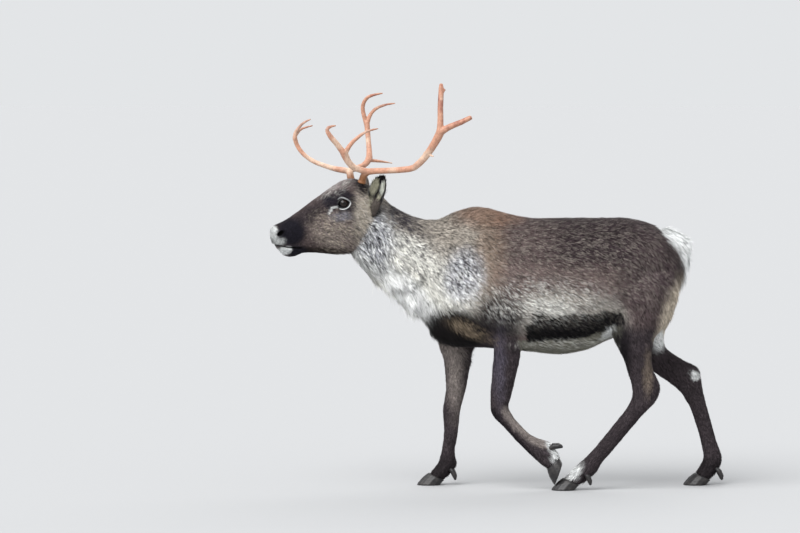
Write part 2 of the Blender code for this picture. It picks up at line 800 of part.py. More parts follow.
def add_ball(mesh, place, radii):
    """Adds a rounded solid with three radii to a mesh, placed by a matrix."""
    size = place @ Matrix.Diagonal((*radii, 1))
    bmesh.ops.create_uvsphere(
        mesh, u_segments=BALL_SIDES, v_segments=BALL_SIDES // 2, radius=1.0, matrix=size)


def ball(name, place, radii):
    """A rounded solid as an object of its own."""
    return mesh_object(name, lambda mesh: add_ball(mesh, place, radii))


def stem_point(rows, place):
    """A point on a stem, its direction and radius; place counts along the stem's rows."""
    index = min(int(place), len(rows) - 2)
    start = Vector(rows[index])
    end = Vector(rows[index + 1])
    here = start.lerp(end, place - index)
    return here.xyz, (end - start).xyz.normalized(), here.w


def build_body():
    """Trunk, neck, head and legs as one skin, then thinned out."""

    def fill(mesh):
        add_loft(mesh, torso_rings())
        add_loft(mesh, neck_rings())
        add_loft(mesh, head_rings())
        for side, rows in LEGS.values():
            add_loft(mesh, leg_rings(side, rows))
        for side in (LEFT, RIGHT):
            add_ball(mesh, head_place(EYE_FORWARD, -side * BROW_OUT, EYE_HEIGHT), BROW_RADII)
        for stems in (ANTLER_LEFT, ANTLER_RIGHT):
            root, along, _ = stem_point(stems["beam"], 0.0)
            burr, _, _ = stem_point(stems["beam"], SEAT_PLACE)
            rows = [(*(root - along * PEDICLE_ROOT), PEDICLE_RADIUS * PEDICLE_FLARE)]
            rows.append((*(burr + along * PEDICLE_RISE), PEDICLE_RADIUS))
            add_loft(mesh, tube_rings(rows, PEDICLE_STEPS, ANTLER_SIDES))

    body = mesh_object("body", fill)
    fuse(body, BODY_VOXEL, BODY_SMOOTH_STEPS)
    thin_out(body, BODY_TRIANGLES)
    return body


def add_lock(mesh, core, root, lie, length, width, rise):
    """Adds a flat, tapered lock: sunk at its root, lying along the core, lifting to its tip."""
    _, _, start, _ = core.closest_point_on_mesh(root)
    side = lie.cross(start).normalized()
    sway = side * random.uniform(-LOCK_SWAY, LOCK_SWAY)
    middles = []
    normals = []
    for share, _, lift in LOCK_SHAPE:
        ahead = root + (lie + sway * share) * length * share
        _, foot, normal, _ = core.closest_point_on_mesh(ahead)
        middles.append(foot + normal * (lift * rise if lift > 0 else -LOCK_ROOT))
        normals.append(normal)
    rings = []
    for i, (_, spread, _) in enumerate(LOCK_SHAPE):
        along = middles[min(i + 1, len(middles) - 1)] - middles[max(i - 1, 0)]
        across = along.cross(normals[i]).normalized() * width * spread / 2
        depth = normals[i] * LOCK_THICKNESS * spread / 2
        rings.append([
            middles[i] + across, middles[i] + depth, middles[i] - across, middles[i] - depth])
    add_loft(mesh, rings)


def vary():
    """A factor a little above or below 1."""
    return 1 + random.uniform(-LOCK_VARY, LOCK_VARY)


def side_of(cut, point):
    """How far a point lies beyond a cut, along the cut's direction."""
    place, normal, _ = cut
    return (point - Vector(place)).dot(Vector(normal).normalized())


def build_mane(pieces):
    """Rows of locks round the throat and down to the chest, fused with the neck."""
    random.seed(MANE_SEED)
    neck = pieces["neck"]
    bpy.context.view_layer.update()
    stations = blend_rows(NECK, STATIONS_PER_SPAN)
    locks = []
    for row in range(MANE_ROWS):
        for column in range(MANE_COLUMNS - row % 2):
            share = (row + random.uniform(-MANE_STAGGER, MANE_STAGGER)) / (MANE_ROWS - 1)
            place = MANE_FIRST + (MANE_LAST - MANE_FIRST) * share
            top_x, top, low_x, low, *widths = stations[max(round(place * STATIONS_PER_SPAN), 0)]
            spread = (2 * column + row % 2) / (MANE_COLUMNS - 1) - 1
            turn = math.pi + MANE_SPREAD * (spread + random.uniform(-MANE_SCATTER, MANE_SCATTER))
            high = Vector((top_x, 0, top))
            bottom = Vector((low_x, 0, low))
            height = math.cos(turn)
            across = math.copysign(side_width(height, *widths), math.sin(turn))
            root = (high + bottom) / 2 + (high - bottom) / 2 * height + Vector((0, across, 0))
            lie = Vector(MANE_LIE_THROAT).lerp(Vector(MANE_LIE_CHEST), max(share, 0) ** 2).normalized()
            length = MANE_LENGTH * vary()
            width = MANE_WIDTH * vary()
            if side_of(HEAD_CUT, root) < MANE_HEAD_CLEAR:
                continue
            room = -side_of(NECK_CUT, root) - MANE_CLEAR
            toward = lie.dot(Vector(NECK_CUT[1]).normalized())
            length = min(length, room / toward)
            if length < MANE_LENGTH * MANE_SHORTEST:
                continue
            rise = MANE_RISE * vary()
            locks.append(mesh_object("lock", lambda mesh: add_lock(
                mesh, neck, root, lie, length, width, rise)))
    combine(neck, locks, "UNION", "MANIFOLD")
    place, normal, reach = NECK_CUT
    beyond = block_under(place, -Vector(normal), reach)
    combine(neck, [beyond], "DIFFERENCE", "MANIFOLD")
    keep_largest(neck)


def limb_cut(rows, index, side, reach):
    """A cut across a leg at one of its sections."""
    front_x, front_z, rear_x, rear_z, out, _ = rows[index]
    across = Vector((rear_x - front_x, 0, rear_z - front_z))
    normal = across.cross(Vector((0, 1, 0)))
    middle = Vector(((front_x + rear_x) / 2, side * out, (front_z + rear_z) / 2))
    return middle, normal, reach


def limb_middle(rows, index, side):
    """A point inside a leg at one of its sections."""
    return limb_cut(rows, index, side, 0)[0]


def part_body(body):
    """Trunk, neck, head and the legs' two lengths, with thin gaps between them."""
    cuts = [HEAD_CUT, NECK_CUT]
    names = {"head": (-0.60, -0.06, 1.0), "neck": (-0.30, 0, 0.9), "torso": (0.35, 0, 1.018)}
    for name, (side, rows) in LEGS.items():
        top, lower = LEG_CUTS[name]
        cuts.append(limb_cut(rows, top, side, LEG_TOP_REACH))
        cuts.append(limb_cut(rows, lower, side, LEG_LOW_REACH))
        names[name + "_upper"] = limb_middle(rows, (top + lower) // 2, side)
        names[name + "_cannon"] = limb_middle(rows, (lower + len(rows)) // 2, side)
    return part_with(body, cuts, names)


def build_antler(side_name, stems):
    """One antler as fused stems, flat at its seat, then split at its forks."""

    def fill(mesh):
        for rows in stems.values():
            add_loft(mesh, tube_rings(rows, STATIONS_PER_SPAN, ANTLER_SIDES))
        burr, along, radius = stem_point(stems["beam"], SEAT_PLACE)
        rows = [(*(burr + along * rise), radius * share) for rise, share in (BURR_LOW, BURR_HIGH)]
        add_loft(mesh, tube_rings(rows, BURR_STEPS, ANTLER_SIDES))

    antler = mesh_object("antler_" + side_name, fill)
    fuse(antler, ANTLER_VOXEL, ANTLER_SMOOTH_STEPS)
    thin_out(antler, ANTLER_TRIANGLES)
    burr, along, _ = stem_point(stems["beam"], SEAT_PLACE)
    combine(antler, [block_under(burr + along * GAP, along, SEAT_TRIM)], "DIFFERENCE")
    keep_largest(antler)
    cuts = []
    for stem, place in ANTLER_CUTS[side_name]:
        point, along, radius = stem_point(stems[stem], place)
        cuts.append((point, along, radius * ANTLER_CUT_REACH))
    names = {
        "antler_" + side_name + "_" + piece: stem_point(stems[stem], place)[0]
        for piece, (stem, place) in ANTLER_PIECES[side_name].items()
    }
    return part_with(antler, cuts, names)


def block_under(point, normal, reach):
    """A cube whose top face lies at a point, facing along a direction."""
    turn = Vector(normal).normalized().to_track_quat("Z", "Y").to_matrix().to_4x4()
    sunk = Matrix.Translation((0, 0, -reach / 2))
    place = Matrix.Translation(Vector(point)) @ turn @ sunk @ Matrix.Diagonal((reach, reach, reach, 1))
    return mesh_object("block", lambda mesh: bmesh.ops.create_cube(mesh, size=1.0, matrix=place))


def seat_cutter(stems):
    """A plug that clears the head from an antler's seat upward."""
    burr, along, _ = stem_point(stems["beam"], SEAT_PLACE)
    rows = [(*burr, SEAT_RADIUS), (*(burr + along * SEAT_HEIGHT), SEAT_RADIUS)]
    return mesh_object("seat", lambda mesh: add_loft(mesh, tube_rings(rows, 2, ANTLER_SIDES)))


def ear_frame(side):
    """An ear's root, its axis, and its unit directions along, across and facing out."""
    root = head_point(EAR_ROOT[0], -side * EAR_ROOT[1], EAR_ROOT[2])
    tip = head_point(EAR_TIP[0], -side * EAR_TIP[1], EAR_TIP[2])
    axis = tip - root
    along = axis.normalized()
    facing = head_point(EAR_FACING[0], -side * EAR_FACING[1], 0) - head_point(0, 0, 0)
    facing = (facing - along * facing.dot(along)).normalized()
    return root, axis, along, along.cross(facing) * side, facing


def ear_rings(side):
    """Crescent sections of a cupped ear, from its root inside the head to its tip."""
    root, axis, _, across, facing = ear_frame(side)
    rings = []
    for share, width, cup, thick in blend_rows(EAR, EAR_STATIONS):
        outer = []
        inner = []
        for k in range(-EAR_HALF_SIDES, EAR_HALF_SIDES + 1):
            place = k / EAR_HALF_SIDES
            rim = facing * thick / 2 * math.sqrt(1 - (EAR_EDGE * place) ** 2)
            edge = root + axis * share + across * width * place + facing * cup * (place ** 2 - 0.5)
            outer.append(edge - rim)
            inner.append(edge + rim)
        rings.append(outer + list(reversed(inner)))
    return rings


def squared(share):
    """Pushes a sine or cosine outward, which turns a circle into a rounded square."""
    return math.copysign(abs(share) ** POCKET_SQUARENESS, share)


def ear_pocket_rings(side):
    """Squarish sections that clear the head round an ear's root, with a floor just under it."""
    root, axis, along, across, facing = ear_frame(side)
    rings = []
    for share, width, cup, thick in blend_rows(EAR, EAR_STATIONS):
        middle = root + axis * share - along * (GAP if share == 0 else 0)
        reach = across * (width + EAR_CLEAR)
        depth = facing * (cup / 2 + thick / 2 + EAR_CLEAR)
        rings.append([
            middle + reach * squared(math.cos(turn)) + depth * squared(math.sin(turn))
            for turn in (2 * math.pi * (k + 0.5) / POCKET_SIDES for k in range(POCKET_SIDES))
        ])
    return rings


def foot_place(foot):
    """The frame of a foot: X from heel to toe, Z up from the sole."""
    x, out, z, pitch = foot
    turn = Matrix.Rotation(math.pi, 4, "Z") @ Matrix.Rotation(-pitch, 4, "Y")
    return Matrix.Translation((x, out, z)) @ turn


def claw_rings(place, side):
    """Sections of one half of a cloven hoof, sole to coronet."""
    rings = []
    for share, spread in CLAW_SHAPE:
        heel = CORONET_HEEL[0] * share
        toe = CLAW_LENGTH + (CORONET_TOE[0] - CLAW_LENGTH) * share
        outer = CLAW_WIDTH + (CORONET_WIDTH - CLAW_WIDTH) * share + spread
        middle = (heel + toe) / 2
        half = (toe - heel) / 2 + spread
        ring = []
        for k in range(CLAW_SIDES):
            turn = 2 * math.pi * k / CLAW_SIDES
            ahead = middle + half * math.cos(turn)
            toe_in = TOE_IN * max(math.cos(turn), 0) ** 2
            bulge = max(math.sin(turn), 0) ** CLAW_BULGE - CLAW_HOLLOW * max(-math.sin(turn), 0)
            flare = 1 - CLAW_BULGE + CLAW_BULGE * bulge
            out = CLAW_SPLIT + (outer - CLAW_SPLIT) * flare - toe_in * bulge
            level = (ahead - CORONET_HEEL[0]) / (CORONET_TOE[0] - CORONET_HEEL[0])
            rise = CORONET_HEEL[1] + (CORONET_TOE[1] - CORONET_HEEL[1]) * level
            height = rise * share
            ring.append(place @ Vector((ahead, side * max(out, CLAW_SPLIT), height)))
        rings.append(ring)
    return rings


def dewclaw_rings(place, side, grow=0.0):
    """Sections of a small rear hoof behind the pastern."""
    rows = [
        (*(place @ Vector((along, side * out, up))), radius)
        for along, out, up, radius in DEWCLAW
    ]
    return tube_rings(rows, 1, DEWCLAW_SIDES, grow)


def build_foot(name, pieces):
    """Two claws and two dewclaws, with the leg trimmed and hollowed to meet them."""
    place = foot_place(FEET[name])
    leg = pieces[name + "_cannon"]
    heel = Vector((CORONET_HEEL[0], 0, CORONET_HEEL[1]))
    toe = Vector((CORONET_TOE[0], 0, CORONET_TOE[1]))
    up = (place.to_3x3() @ (toe - heel).cross(Vector((0, 1, 0)))).normalized()
    if up.dot(place.to_3x3() @ Vector((0, 0, 1))) < 0:
        up = -up
    seat = place @ ((heel + toe) / 2)
    cutters = [block_under(seat + up * GAP, up, FOOT_TRIM)]
    for side, word in ((LEFT, "a"), (RIGHT, "b")):
        claw_name = name + "_claw_" + word
        pieces[claw_name] = mesh_object(
            claw_name, lambda mesh: add_loft(mesh, claw_rings(place, side)))
        dewclaw_name = name + "_dewclaw_" + word
        pieces[dewclaw_name] = mesh_object(
            dewclaw_name, lambda mesh: add_loft(mesh, dewclaw_rings(place, side)))
        cutters.append(mesh_object(
            "socket", lambda mesh: add_loft(mesh, dewclaw_rings(place, side, GAP))))
    combine(leg, cutters, "DIFFERENCE")
    keep_largest(leg)


def mouth_groove():
    """A cutter along the line between the lips, round the front of the muzzle."""
    side_line = [
        (forward, head_half_width(forward, height), height)
        for forward, height in MOUTH_LINE
    ]
    there = [(*head_point(a, b, c), MOUTH_RADIUS) for a, b, c in side_line]
    back = [(*head_point(a, -b, c), MOUTH_RADIUS) for a, b, c in reversed(side_line)]
    front = [(*head_point(MOUTH_FRONT, 0, MOUTH_LINE[-1][1]), MOUTH_RADIUS)]
    return mesh_object("groove", lambda mesh: add_loft(
        mesh, tube_rings(there + front + back, 3, GROOVE_SIDES)))


def lid_ring(side):
    """A soft raised ring round an eye."""
    place = head_place(EYE_FORWARD, -side * LID_OUT, EYE_HEIGHT)

    def fill(mesh):
        rings = []
        for k in range(LID_SIDES):
            turn = 2 * math.pi * k / LID_SIDES
            radius = LID_RADIUS * (1 + LID_UPPER * max(math.sin(turn), 0))
            middle = Vector((LID_LENGTH * math.cos(turn), 0, LID_RISE * math.sin(turn)))
            outward = middle.normalized()
            rings.append([
                place @ (middle + radius * (outward * math.cos(bend) + Vector((0, math.sin(bend), 0))))
                for bend in (2 * math.pi * j / LID_TUBE_SIDES for j in range(LID_TUBE_SIDES))
            ])
        rows = [[mesh.verts.new(point) for point in ring] for ring in rings]
        faces = []
        for i in range(LID_SIDES):
            one = rows[i]
            two = rows[(i + 1) % LID_SIDES]
            for j in range(LID_TUBE_SIDES):
                m = (j + 1) % LID_TUBE_SIDES
                faces.append(mesh.faces.new((one[j], one[m], two[m], two[j])))
        bmesh.ops.recalc_face_normals(mesh, faces=faces)

    return mesh_object("lid", fill)


def build_head(pieces):
    """Eyes, ears and the head's own features, each with its seat in the head."""
    head = pieces["head"]
    combine(head, [lid_ring(LEFT), lid_ring(RIGHT)], "UNION")
    cutters = [seat_cutter(ANTLER_LEFT), seat_cutter(ANTLER_RIGHT), mouth_groove()]
    for side, word in ((LEFT, "left"), (RIGHT, "right")):
        eye_place = head_place(EYE_FORWARD, -side * EYE_OUT, EYE_HEIGHT)
        pieces["eye_" + word] = ball("eye_" + word, eye_place, (EYE_RADIUS,) * 3)
        cutters.append(ball("orbit", eye_place, (EYE_RADIUS + GAP,) * 3))
        nostril = head_place(NOSTRIL[0], -side * NOSTRIL[1], NOSTRIL[2])
        cutters.append(ball("nostril", nostril @ Matrix.Rotation(NOSTRIL_TILT, 4, "Y"), NOSTRIL_RADII))
        pieces["ear_" + word] = mesh_object(
            "ear_" + word, lambda mesh: add_loft(mesh, ear_rings(side)))
        cutters.append(mesh_object("socket", lambda mesh: add_loft(mesh, ear_pocket_rings(side))))
    combine(head, cutters, "DIFFERENCE")
    keep_largest(head)


def grown_copy(item, reach):
    """A copy of a solid whose surface stands out by a small distance."""
    copy = bpy.data.objects.new("grown", item.data.copy())
    bpy.context.collection.objects.link(copy)
    swell = copy.modifiers.new("swell", "DISPLACE")
    swell.strength = reach
    swell.mid_level = 0.0
    settle(copy)
    return copy


def tail_rings(grow=0.0, coat=0.0):
    """Sections of the short hanging tail, root to tip; coat trims it to its core at the rear."""
    rings = []
    rows = blend_rows(TAIL, TAIL_STATIONS)
    for i, (front_x, front_z, rear_x, rear_z, width) in enumerate(rows):
        front = Vector((front_x, 0, front_z))
        rear = Vector((rear_x, 0, rear_z))
        out = (rear - front).normalized()
        depth = min(coat, (rear - front).length * TAIL_CORE_MOST) * min(i / TAIL_COAT_STARTS, 1)
        even = (width + grow) * math.sqrt(0.5)
        inner = max(even - depth, even * TAIL_CORE_LEAST)
        widths = (even, width + grow - depth * TAIL_CORE_SIDE, inner)
        start = front - out * grow
        end = rear + out * (grow - depth)
        rings.append(section(start, end, widths, 0.0, TAIL_SIDES))
    lead = (rings[0][0] - rings[1][0]).normalized() * grow
    rings[0] = [point + lead for point in rings[0]]
    return rings


def tail_place(share, across):
    """A point on the tail's rear side, by the share of its length and of its half-width."""
    rows = blend_rows(TAIL, TAIL_STATIONS)
    _, _, rear_x, rear_z, width = rows[round(share * (len(rows) - 1))]
    return Vector((rear_x, width * across, rear_z))


def build_tail(pieces):
    """The tail's core and its hanging locks, and its seat in the rump."""
    random.seed(TAIL_SEED)
    tail = mesh_object("tail", lambda mesh: add_loft(mesh, tail_rings(coat=TAIL_COAT)))
    bpy.context.view_layer.update()
    locks = []
    for row, share in enumerate(TAIL_ROWS):
        for column in TAIL_COLUMNS:
            across = column + random.uniform(-TAIL_SCATTER, TAIL_SCATTER)
            across += TAIL_STAGGER if row % 2 else -TAIL_STAGGER
            root = tail_place(share, across)
            ahead = tail_place(min(share + TAIL_REACH, 1.0), across * TAIL_GATHER)
            lie = (ahead - root).normalized()
            room = (tail_place(1.0, 0.0) - root).length
            length = min(TAIL_LENGTH * vary(), room)
            width = TAIL_WIDTH * vary()
            locks.append(mesh_object("lock", lambda mesh: add_lock(
                mesh, tail, root, lie, length, width, TAIL_RISE)))
    combine(tail, locks, "UNION")
    cutter = mesh_object("socket", lambda mesh: add_loft(mesh, tail_rings(TAIL_GAP)))
    combine(pieces["torso"], [cutter], "DIFFERENCE")
    keep_largest(pieces["torso"])
    combine(tail, [grown_copy(pieces["torso"], TAIL_CLEAR)], "DIFFERENCE", "MANIFOLD")
    keep_largest(tail)
    pieces["tail"] = tail


def finish(pieces):
    """Gives each piece its finish and stands the whole on its origin."""
    finishes = {name: material(name, *look) for name, look in FINISHES.items()}
    corners = [vertex.co for piece in pieces.values() for vertex in piece.data.vertices]
    low = Vector([min(corner[axis] for corner in corners) for axis in range(3)])
    high = Vector([max(corner[axis] for corner in corners) for axis in range(3)])
    shift = Matrix.Translation((-(low.x + high.x) / 2, -(low.y + high.y) / 2, -low.z))
    stand = bpy.data.objects.new("reindeer", None)
    bpy.context.collection.objects.link(stand)
    for name, piece in pieces.items():
        piece.data.transform(shift)
        piece.data.materials.clear()
        look = next(look for start, look in NODE_FINISH if start in name)
        piece.data.materials.append(finishes[look])
        piece.data.shade_smooth()
        piece.data.set_sharp_from_angle(angle=SHARP_ANGLE)
        piece.parent = stand


def main():
    clear_scene()
    pieces = part_body(build_body())
    build_head(pieces)
    for name in LEGS:
        build_foot(name, pieces)
    build_mane(pieces)
    build_tail(pieces)
    pieces.update(build_antler("left", ANTLER_LEFT))
    pieces.update(build_antler("right", ANTLER_RIGHT))
    finish(pieces)


main()
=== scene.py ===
"""Looks of a life-size reindeer display model: skin, coat, ears, eyes, antlers, hooves and studio."""

import logging
import math
from dataclasses import dataclass, field
from enum import Enum
from itertools import product
from typing import Any, Callable, Sequence

import bmesh
import bpy
import numpy as np
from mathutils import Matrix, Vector
from mathutils.bvhtree import BVHTree


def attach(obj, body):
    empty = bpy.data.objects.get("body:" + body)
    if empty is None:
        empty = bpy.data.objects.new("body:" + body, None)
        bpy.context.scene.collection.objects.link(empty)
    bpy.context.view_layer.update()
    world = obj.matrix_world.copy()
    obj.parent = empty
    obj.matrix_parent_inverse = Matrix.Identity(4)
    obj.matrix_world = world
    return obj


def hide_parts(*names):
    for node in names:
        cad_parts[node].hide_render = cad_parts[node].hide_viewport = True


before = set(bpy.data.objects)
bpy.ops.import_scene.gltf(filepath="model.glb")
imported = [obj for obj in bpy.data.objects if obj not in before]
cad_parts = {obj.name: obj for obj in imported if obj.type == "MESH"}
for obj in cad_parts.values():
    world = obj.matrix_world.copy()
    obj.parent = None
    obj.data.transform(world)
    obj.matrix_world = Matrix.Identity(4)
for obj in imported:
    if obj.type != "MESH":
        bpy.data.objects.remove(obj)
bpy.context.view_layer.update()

LOG = logging.getLogger("reindeer")
COAT_UV = "OFBake"
TINT_LAYER = "tint"
BODY = "root"
LEGS = ("fore_left", "fore_right", "hind_left", "hind_right")
SIDES = {"left": 1.0, "right": -1.0}

# Where the solids have the middle plane, the poll that the head turns about, and the eyes
MIDDLE_Y = 0.0305
POLL_X = -0.474
HEAD_TURN = math.radians(18.0)
EYE_FORWARD = 0.1314
EYE_HEIGHT = 1.0725
EYE_OUT = 0.0600
EYE_RADIUS = 0.0180

# Painted shade: how much darker the skin and the ear shells are painted under the hair, for the shade of the tufts
# over them
UNDER_COAT_SHADE = 0.8

Points = np.ndarray


class Tint(Enum):
    """Colours of the animal as they are seen in soft light, red, green and blue up to 255."""

    BACK = (55, 45, 48)
    FLANK = (112, 97, 94)
    CREAM = (168, 164, 156)
    BRIGHT = (226, 226, 220)
    STRIPE = (12, 11, 14)
    # Whitish belly fur, painted darker as painted shade under the body
    BELLY = (134, 132, 120)
    WHITE = (240, 242, 241)
    PALE = (226, 225, 217)
    SHOULDER = (172, 164, 153)
    RUFOUS = (142, 113, 96)
    BLUE_GREY = (176, 178, 187)
    MANE = (247, 248, 246)
    SLATE = (52, 49, 58)
    GREY = (158, 160, 168)
    BRISKET = (26, 23, 24)
    FAWN = (146, 130, 110)
    TAN = (138, 119, 104)
    LEG_PALE = (158, 148, 142)
    LEG_BLUE = (80, 75, 86)
    ELBOW = (28, 25, 30)
    HAUNCH = (73, 62, 64)
    THIGH = (24, 21, 25)
    FRINGE = (204, 192, 174)
    LEG = (63, 56, 59)
    DARK_LEG = (38, 34, 36)
    GASKIN = (136, 122, 108)
    FACE = (92, 80, 79)
    CHEEK = (148, 136, 129)
    TEMPLE = (198, 190, 178)
    FOREHEAD = (152, 143, 142)
    BRIDGE_EDGE = (176, 150, 130)
    MUZZLE = (31, 29, 37)
    JAW = (34, 27, 22)
    THROAT = (206, 205, 199)
    ORBIT = (34, 31, 40)
    LAVENDER = (140, 138, 146)
    PEDICLE = (34, 30, 35)
    EAR_DARK = (34, 31, 34)
    EAR_EDGE = (140, 138, 140)
    EAR_OUTER = (112, 104, 98)
    EAR_FRONT = (196, 192, 168)
    EAR_INNER = (238, 240, 228)
    BONE = (198, 146, 120)
    BONE_PALE = (226, 196, 172)
    BONE_BASE = (140, 92, 56)
    BLOOD = (132, 52, 42)
    HORN = (24, 22, 24)
    HORN_PALE = (60, 55, 52)
    WET_BLACK = (12, 10, 11)
    LIP = (186, 188, 187)
    IRIS = (34, 24, 20)

    def linear(self) -> Points:
        """The colour as the light-linear values that a shader takes."""
        share = np.array(self.value, float) / 255
        return np.where(share <= 0.04045, share / 12.92, ((share + 0.055) / 1.055) ** 2.4)

    def spread(self, count: int) -> Points:
        """The colour for each of many places."""
        return np.tile(self.linear(), (count, 1))


class Side(Enum):
    """Which side of the animal a marking is on."""

    BOTH = 0
    NEAR = 1
    FAR = 2


def smooth_step(values: Points, low: float, high: float) -> Points:
    """Values eased from 0 at low to 1 at high."""
    share = np.clip((values - low) / (high - low), 0, 1)
    return share * share * (3 - 2 * share)


def unit(vectors: Points) -> Points:
    """Rows scaled to length 1."""
    return vectors / np.maximum(np.linalg.norm(vectors, axis=1, keepdims=True), 1e-9)


def blend(colours: Points, tint: Points, cover: Points) -> None:
    """Lays a tint over colours, by how much it covers each."""
    colours += (tint - colours) * cover[:, None]


def hump(values: Points | float, middle: Points | float, width: float) -> Points:
    """A smooth hump, 1 at its middle."""
    return np.exp(-((values - middle) / width) ** 2)


@dataclass
class Grain:
    """Smooth seeded noise over space, from 0 to 1.

    Args:
        seed: Picks the noise.
        cells: How many cells of the noise lie before it repeats.
    """

    seed: int
    cells: int = 40
    table: Points = field(init=False)

    def __post_init__(self) -> None:
        """Draws the table."""
        self.table = np.random.default_rng(self.seed).random((self.cells,) * 3)

    def __call__(self, points: Points, size: Sequence[float] | float) -> Points:
        """Noise values.

        Args:
            points: Rows of x, y, z.
            size: Size of a cell, or one for each direction.

        Returns:
            One value for each point.
        """
        grid = points / np.asarray(size)
        base = np.floor(grid).astype(int)
        share = grid - base
        share = share * share * (3 - 2 * share)
        total = np.zeros(len(points))
        for corner in product((0, 1), repeat=3):
            weight = np.prod(np.where(np.array(corner) == 1, share, 1 - share), axis=1)
            cell = (base + corner) % self.cells
            total += weight * self.table[cell[:, 0], cell[:, 1], cell[:, 2]]
        return total


class HeadFrame:
    """The turned head's own directions: forward of the poll, out to a side, and height."""

    def local(self, points: Points) -> Points:
        """Rows of forward, out to the animal's left, height.

        Args:
            points: Rows of x, y, z.

        Returns:
            The same points in the head's directions.
        """
        x = points[:, 0] - POLL_X
        y = points[:, 1] - MIDDLE_Y
        cos, sin = math.cos(HEAD_TURN), math.sin(HEAD_TURN)
        return np.column_stack((-x * cos - y * sin, x * sin - y * cos, points[:, 2]))

    def world(self, points: Points) -> Points:
        """Rows of x, y, z for rows of forward, out, height."""
        return self.direction(points) + np.array([POLL_X, MIDDLE_Y, 0.0])

    def direction(self, vectors: Points) -> Points:
        """The same turn for directions.

        Args:
            vectors: Rows of forward, out, height.

        Returns:
            Rows of x, y, z.
        """
        forward, out, height = vectors.T
        cos, sin = math.cos(HEAD_TURN), math.sin(HEAD_TURN)
        return np.column_stack((-forward * cos + out * sin, -forward * sin - out * cos, height))


HEAD = HeadFrame()


@dataclass(frozen=True)
class Patch:
    """A soft oval of one tint on the side view of the trunk, or of the head in its own directions.

    Args:
        tint: Its colour.
        centre: Along and up, in metres.
        radii: Along and up, before the turn.
        turn: Degrees, nose end up.
        soft: Share of the radius over which it fades.
        strength: Most that it covers.
        side: The side it is on.
    """

    tint: Tint
    centre: tuple[float, float]
    radii: tuple[float, float]
    turn: float = 0.0
    soft: float = 0.5
    strength: float = 1.0
    side: Side = Side.BOTH

    def cover(self, along: Points, up: Points) -> Points:
        """How much it covers.

        Args:
            along: Places along the side view.
            up: Their heights.

        Returns:
            Values from 0 to 1.
        """
        angle = math.radians(self.turn)
        right = along - self.centre[0]
        high = up - self.centre[1]
        first = (right * math.cos(angle) + high * math.sin(angle)) / self.radii[0]
        second = (high * math.cos(angle) - right * math.sin(angle)) / self.radii[1]
        reach = np.sqrt(first ** 2 + second ** 2)
        return self.strength * (1 - smooth_step(reach, 1 - self.soft, 1 + self.soft))


@dataclass(frozen=True)
class Band:
    """A tint between an upper and a lower line on the side view.

    Args:
        tint: Its colour.
        tops: Points of the upper line, front to rear.
        bottoms: Points of the lower line, front to rear.
        soft: Metres over which its edges fade.
        strength: Most that it covers.
        side: The side it is on.
    """

    tint: Tint
    tops: tuple[tuple[float, float], ...]
    bottoms: tuple[tuple[float, float], ...]
    soft: float = 0.02
    strength: float = 1.0
    side: Side = Side.BOTH

    def cover(self, along: Points, up: Points) -> Points:
        """How much it covers.

        Args:
            along: Places along the side view.
            up: Their heights.

        Returns:
            Values from 0 to 1.
        """
        top = np.interp(along, *zip(*self.tops))
        bottom = np.interp(along, *zip(*self.bottoms))
        first = min(self.tops[0][0], self.bottoms[0][0])
        last = max(self.tops[-1][0], self.bottoms[-1][0])
        half = self.soft / 2
        inside = smooth_step(top - up, -half, half) * smooth_step(up - bottom, -half, half)
        ends = smooth_step(along, first - half, first + half) * smooth_step(-along, -last - half, -last + half)
        return self.strength * inside * ends


@dataclass(frozen=True)
class Stroke:
    """A tint along a line drawn on the side view.

    Args:
        tint: Its colour.
        line: Points of the line.
        width: How far it reaches to either side.
        soft: Share of the width over which it fades.
        strength: Most that it covers.
        side: The side it is on.
    """

    tint: Tint
    line: tuple[tuple[float, float], ...]
    width: float
    soft: float = 0.5
    strength: float = 1.0
    side: Side = Side.BOTH

    def cover(self, along: Points, up: Points) -> Points:
        """How much it covers.

        Args:
            along: Places along the side view.
            up: Their heights.

        Returns:
            Values from 0 to 1.
        """
        spots = np.column_stack((along, up))
        nearest = np.full(len(spots), np.inf)
        for start, end in zip(np.array(self.line), np.array(self.line)[1:]):
            run = end - start
            share = np.clip((spots - start) @ run / (run @ run), 0, 1)
            away = np.linalg.norm(spots - start - share[:, None] * run, axis=1)
            nearest = np.minimum(nearest, away)
        return self.strength * (1 - smooth_step(nearest / self.width, 1 - self.soft, 1 + self.soft))


Mark = Patch | Band | Stroke


@dataclass(frozen=True)
class Streaks:
    """Tufts of another tint strewn among the rest within an oval.

    Args:
        area: Where they are, and their tint.
        share: Share of the area that they take.
        size: Size of a group of such tufts.
    """

    area: Patch
    share: float = 0.4
    size: float = 0.0042

    def cover(self, along: Points, up: Points, points: Points, grain: Grain) -> Points:
        """How much they cover.

        Args:
            along: Places along the side view.
            up: Their heights.
            points: The same places as x, y, z.
            grain: The noise that picks the tufts.

        Returns:
            Values from 0 to 1.
        """
        shift = self.area.tint.value[0] + 100 * self.area.centre[0]
        value = grain(points + shift, self.size)
        edge = 0.5 + (0.5 - self.share) * 0.55
        return self.area.cover(along, up) * smooth_step(value, edge - 0.07, edge + 0.07)


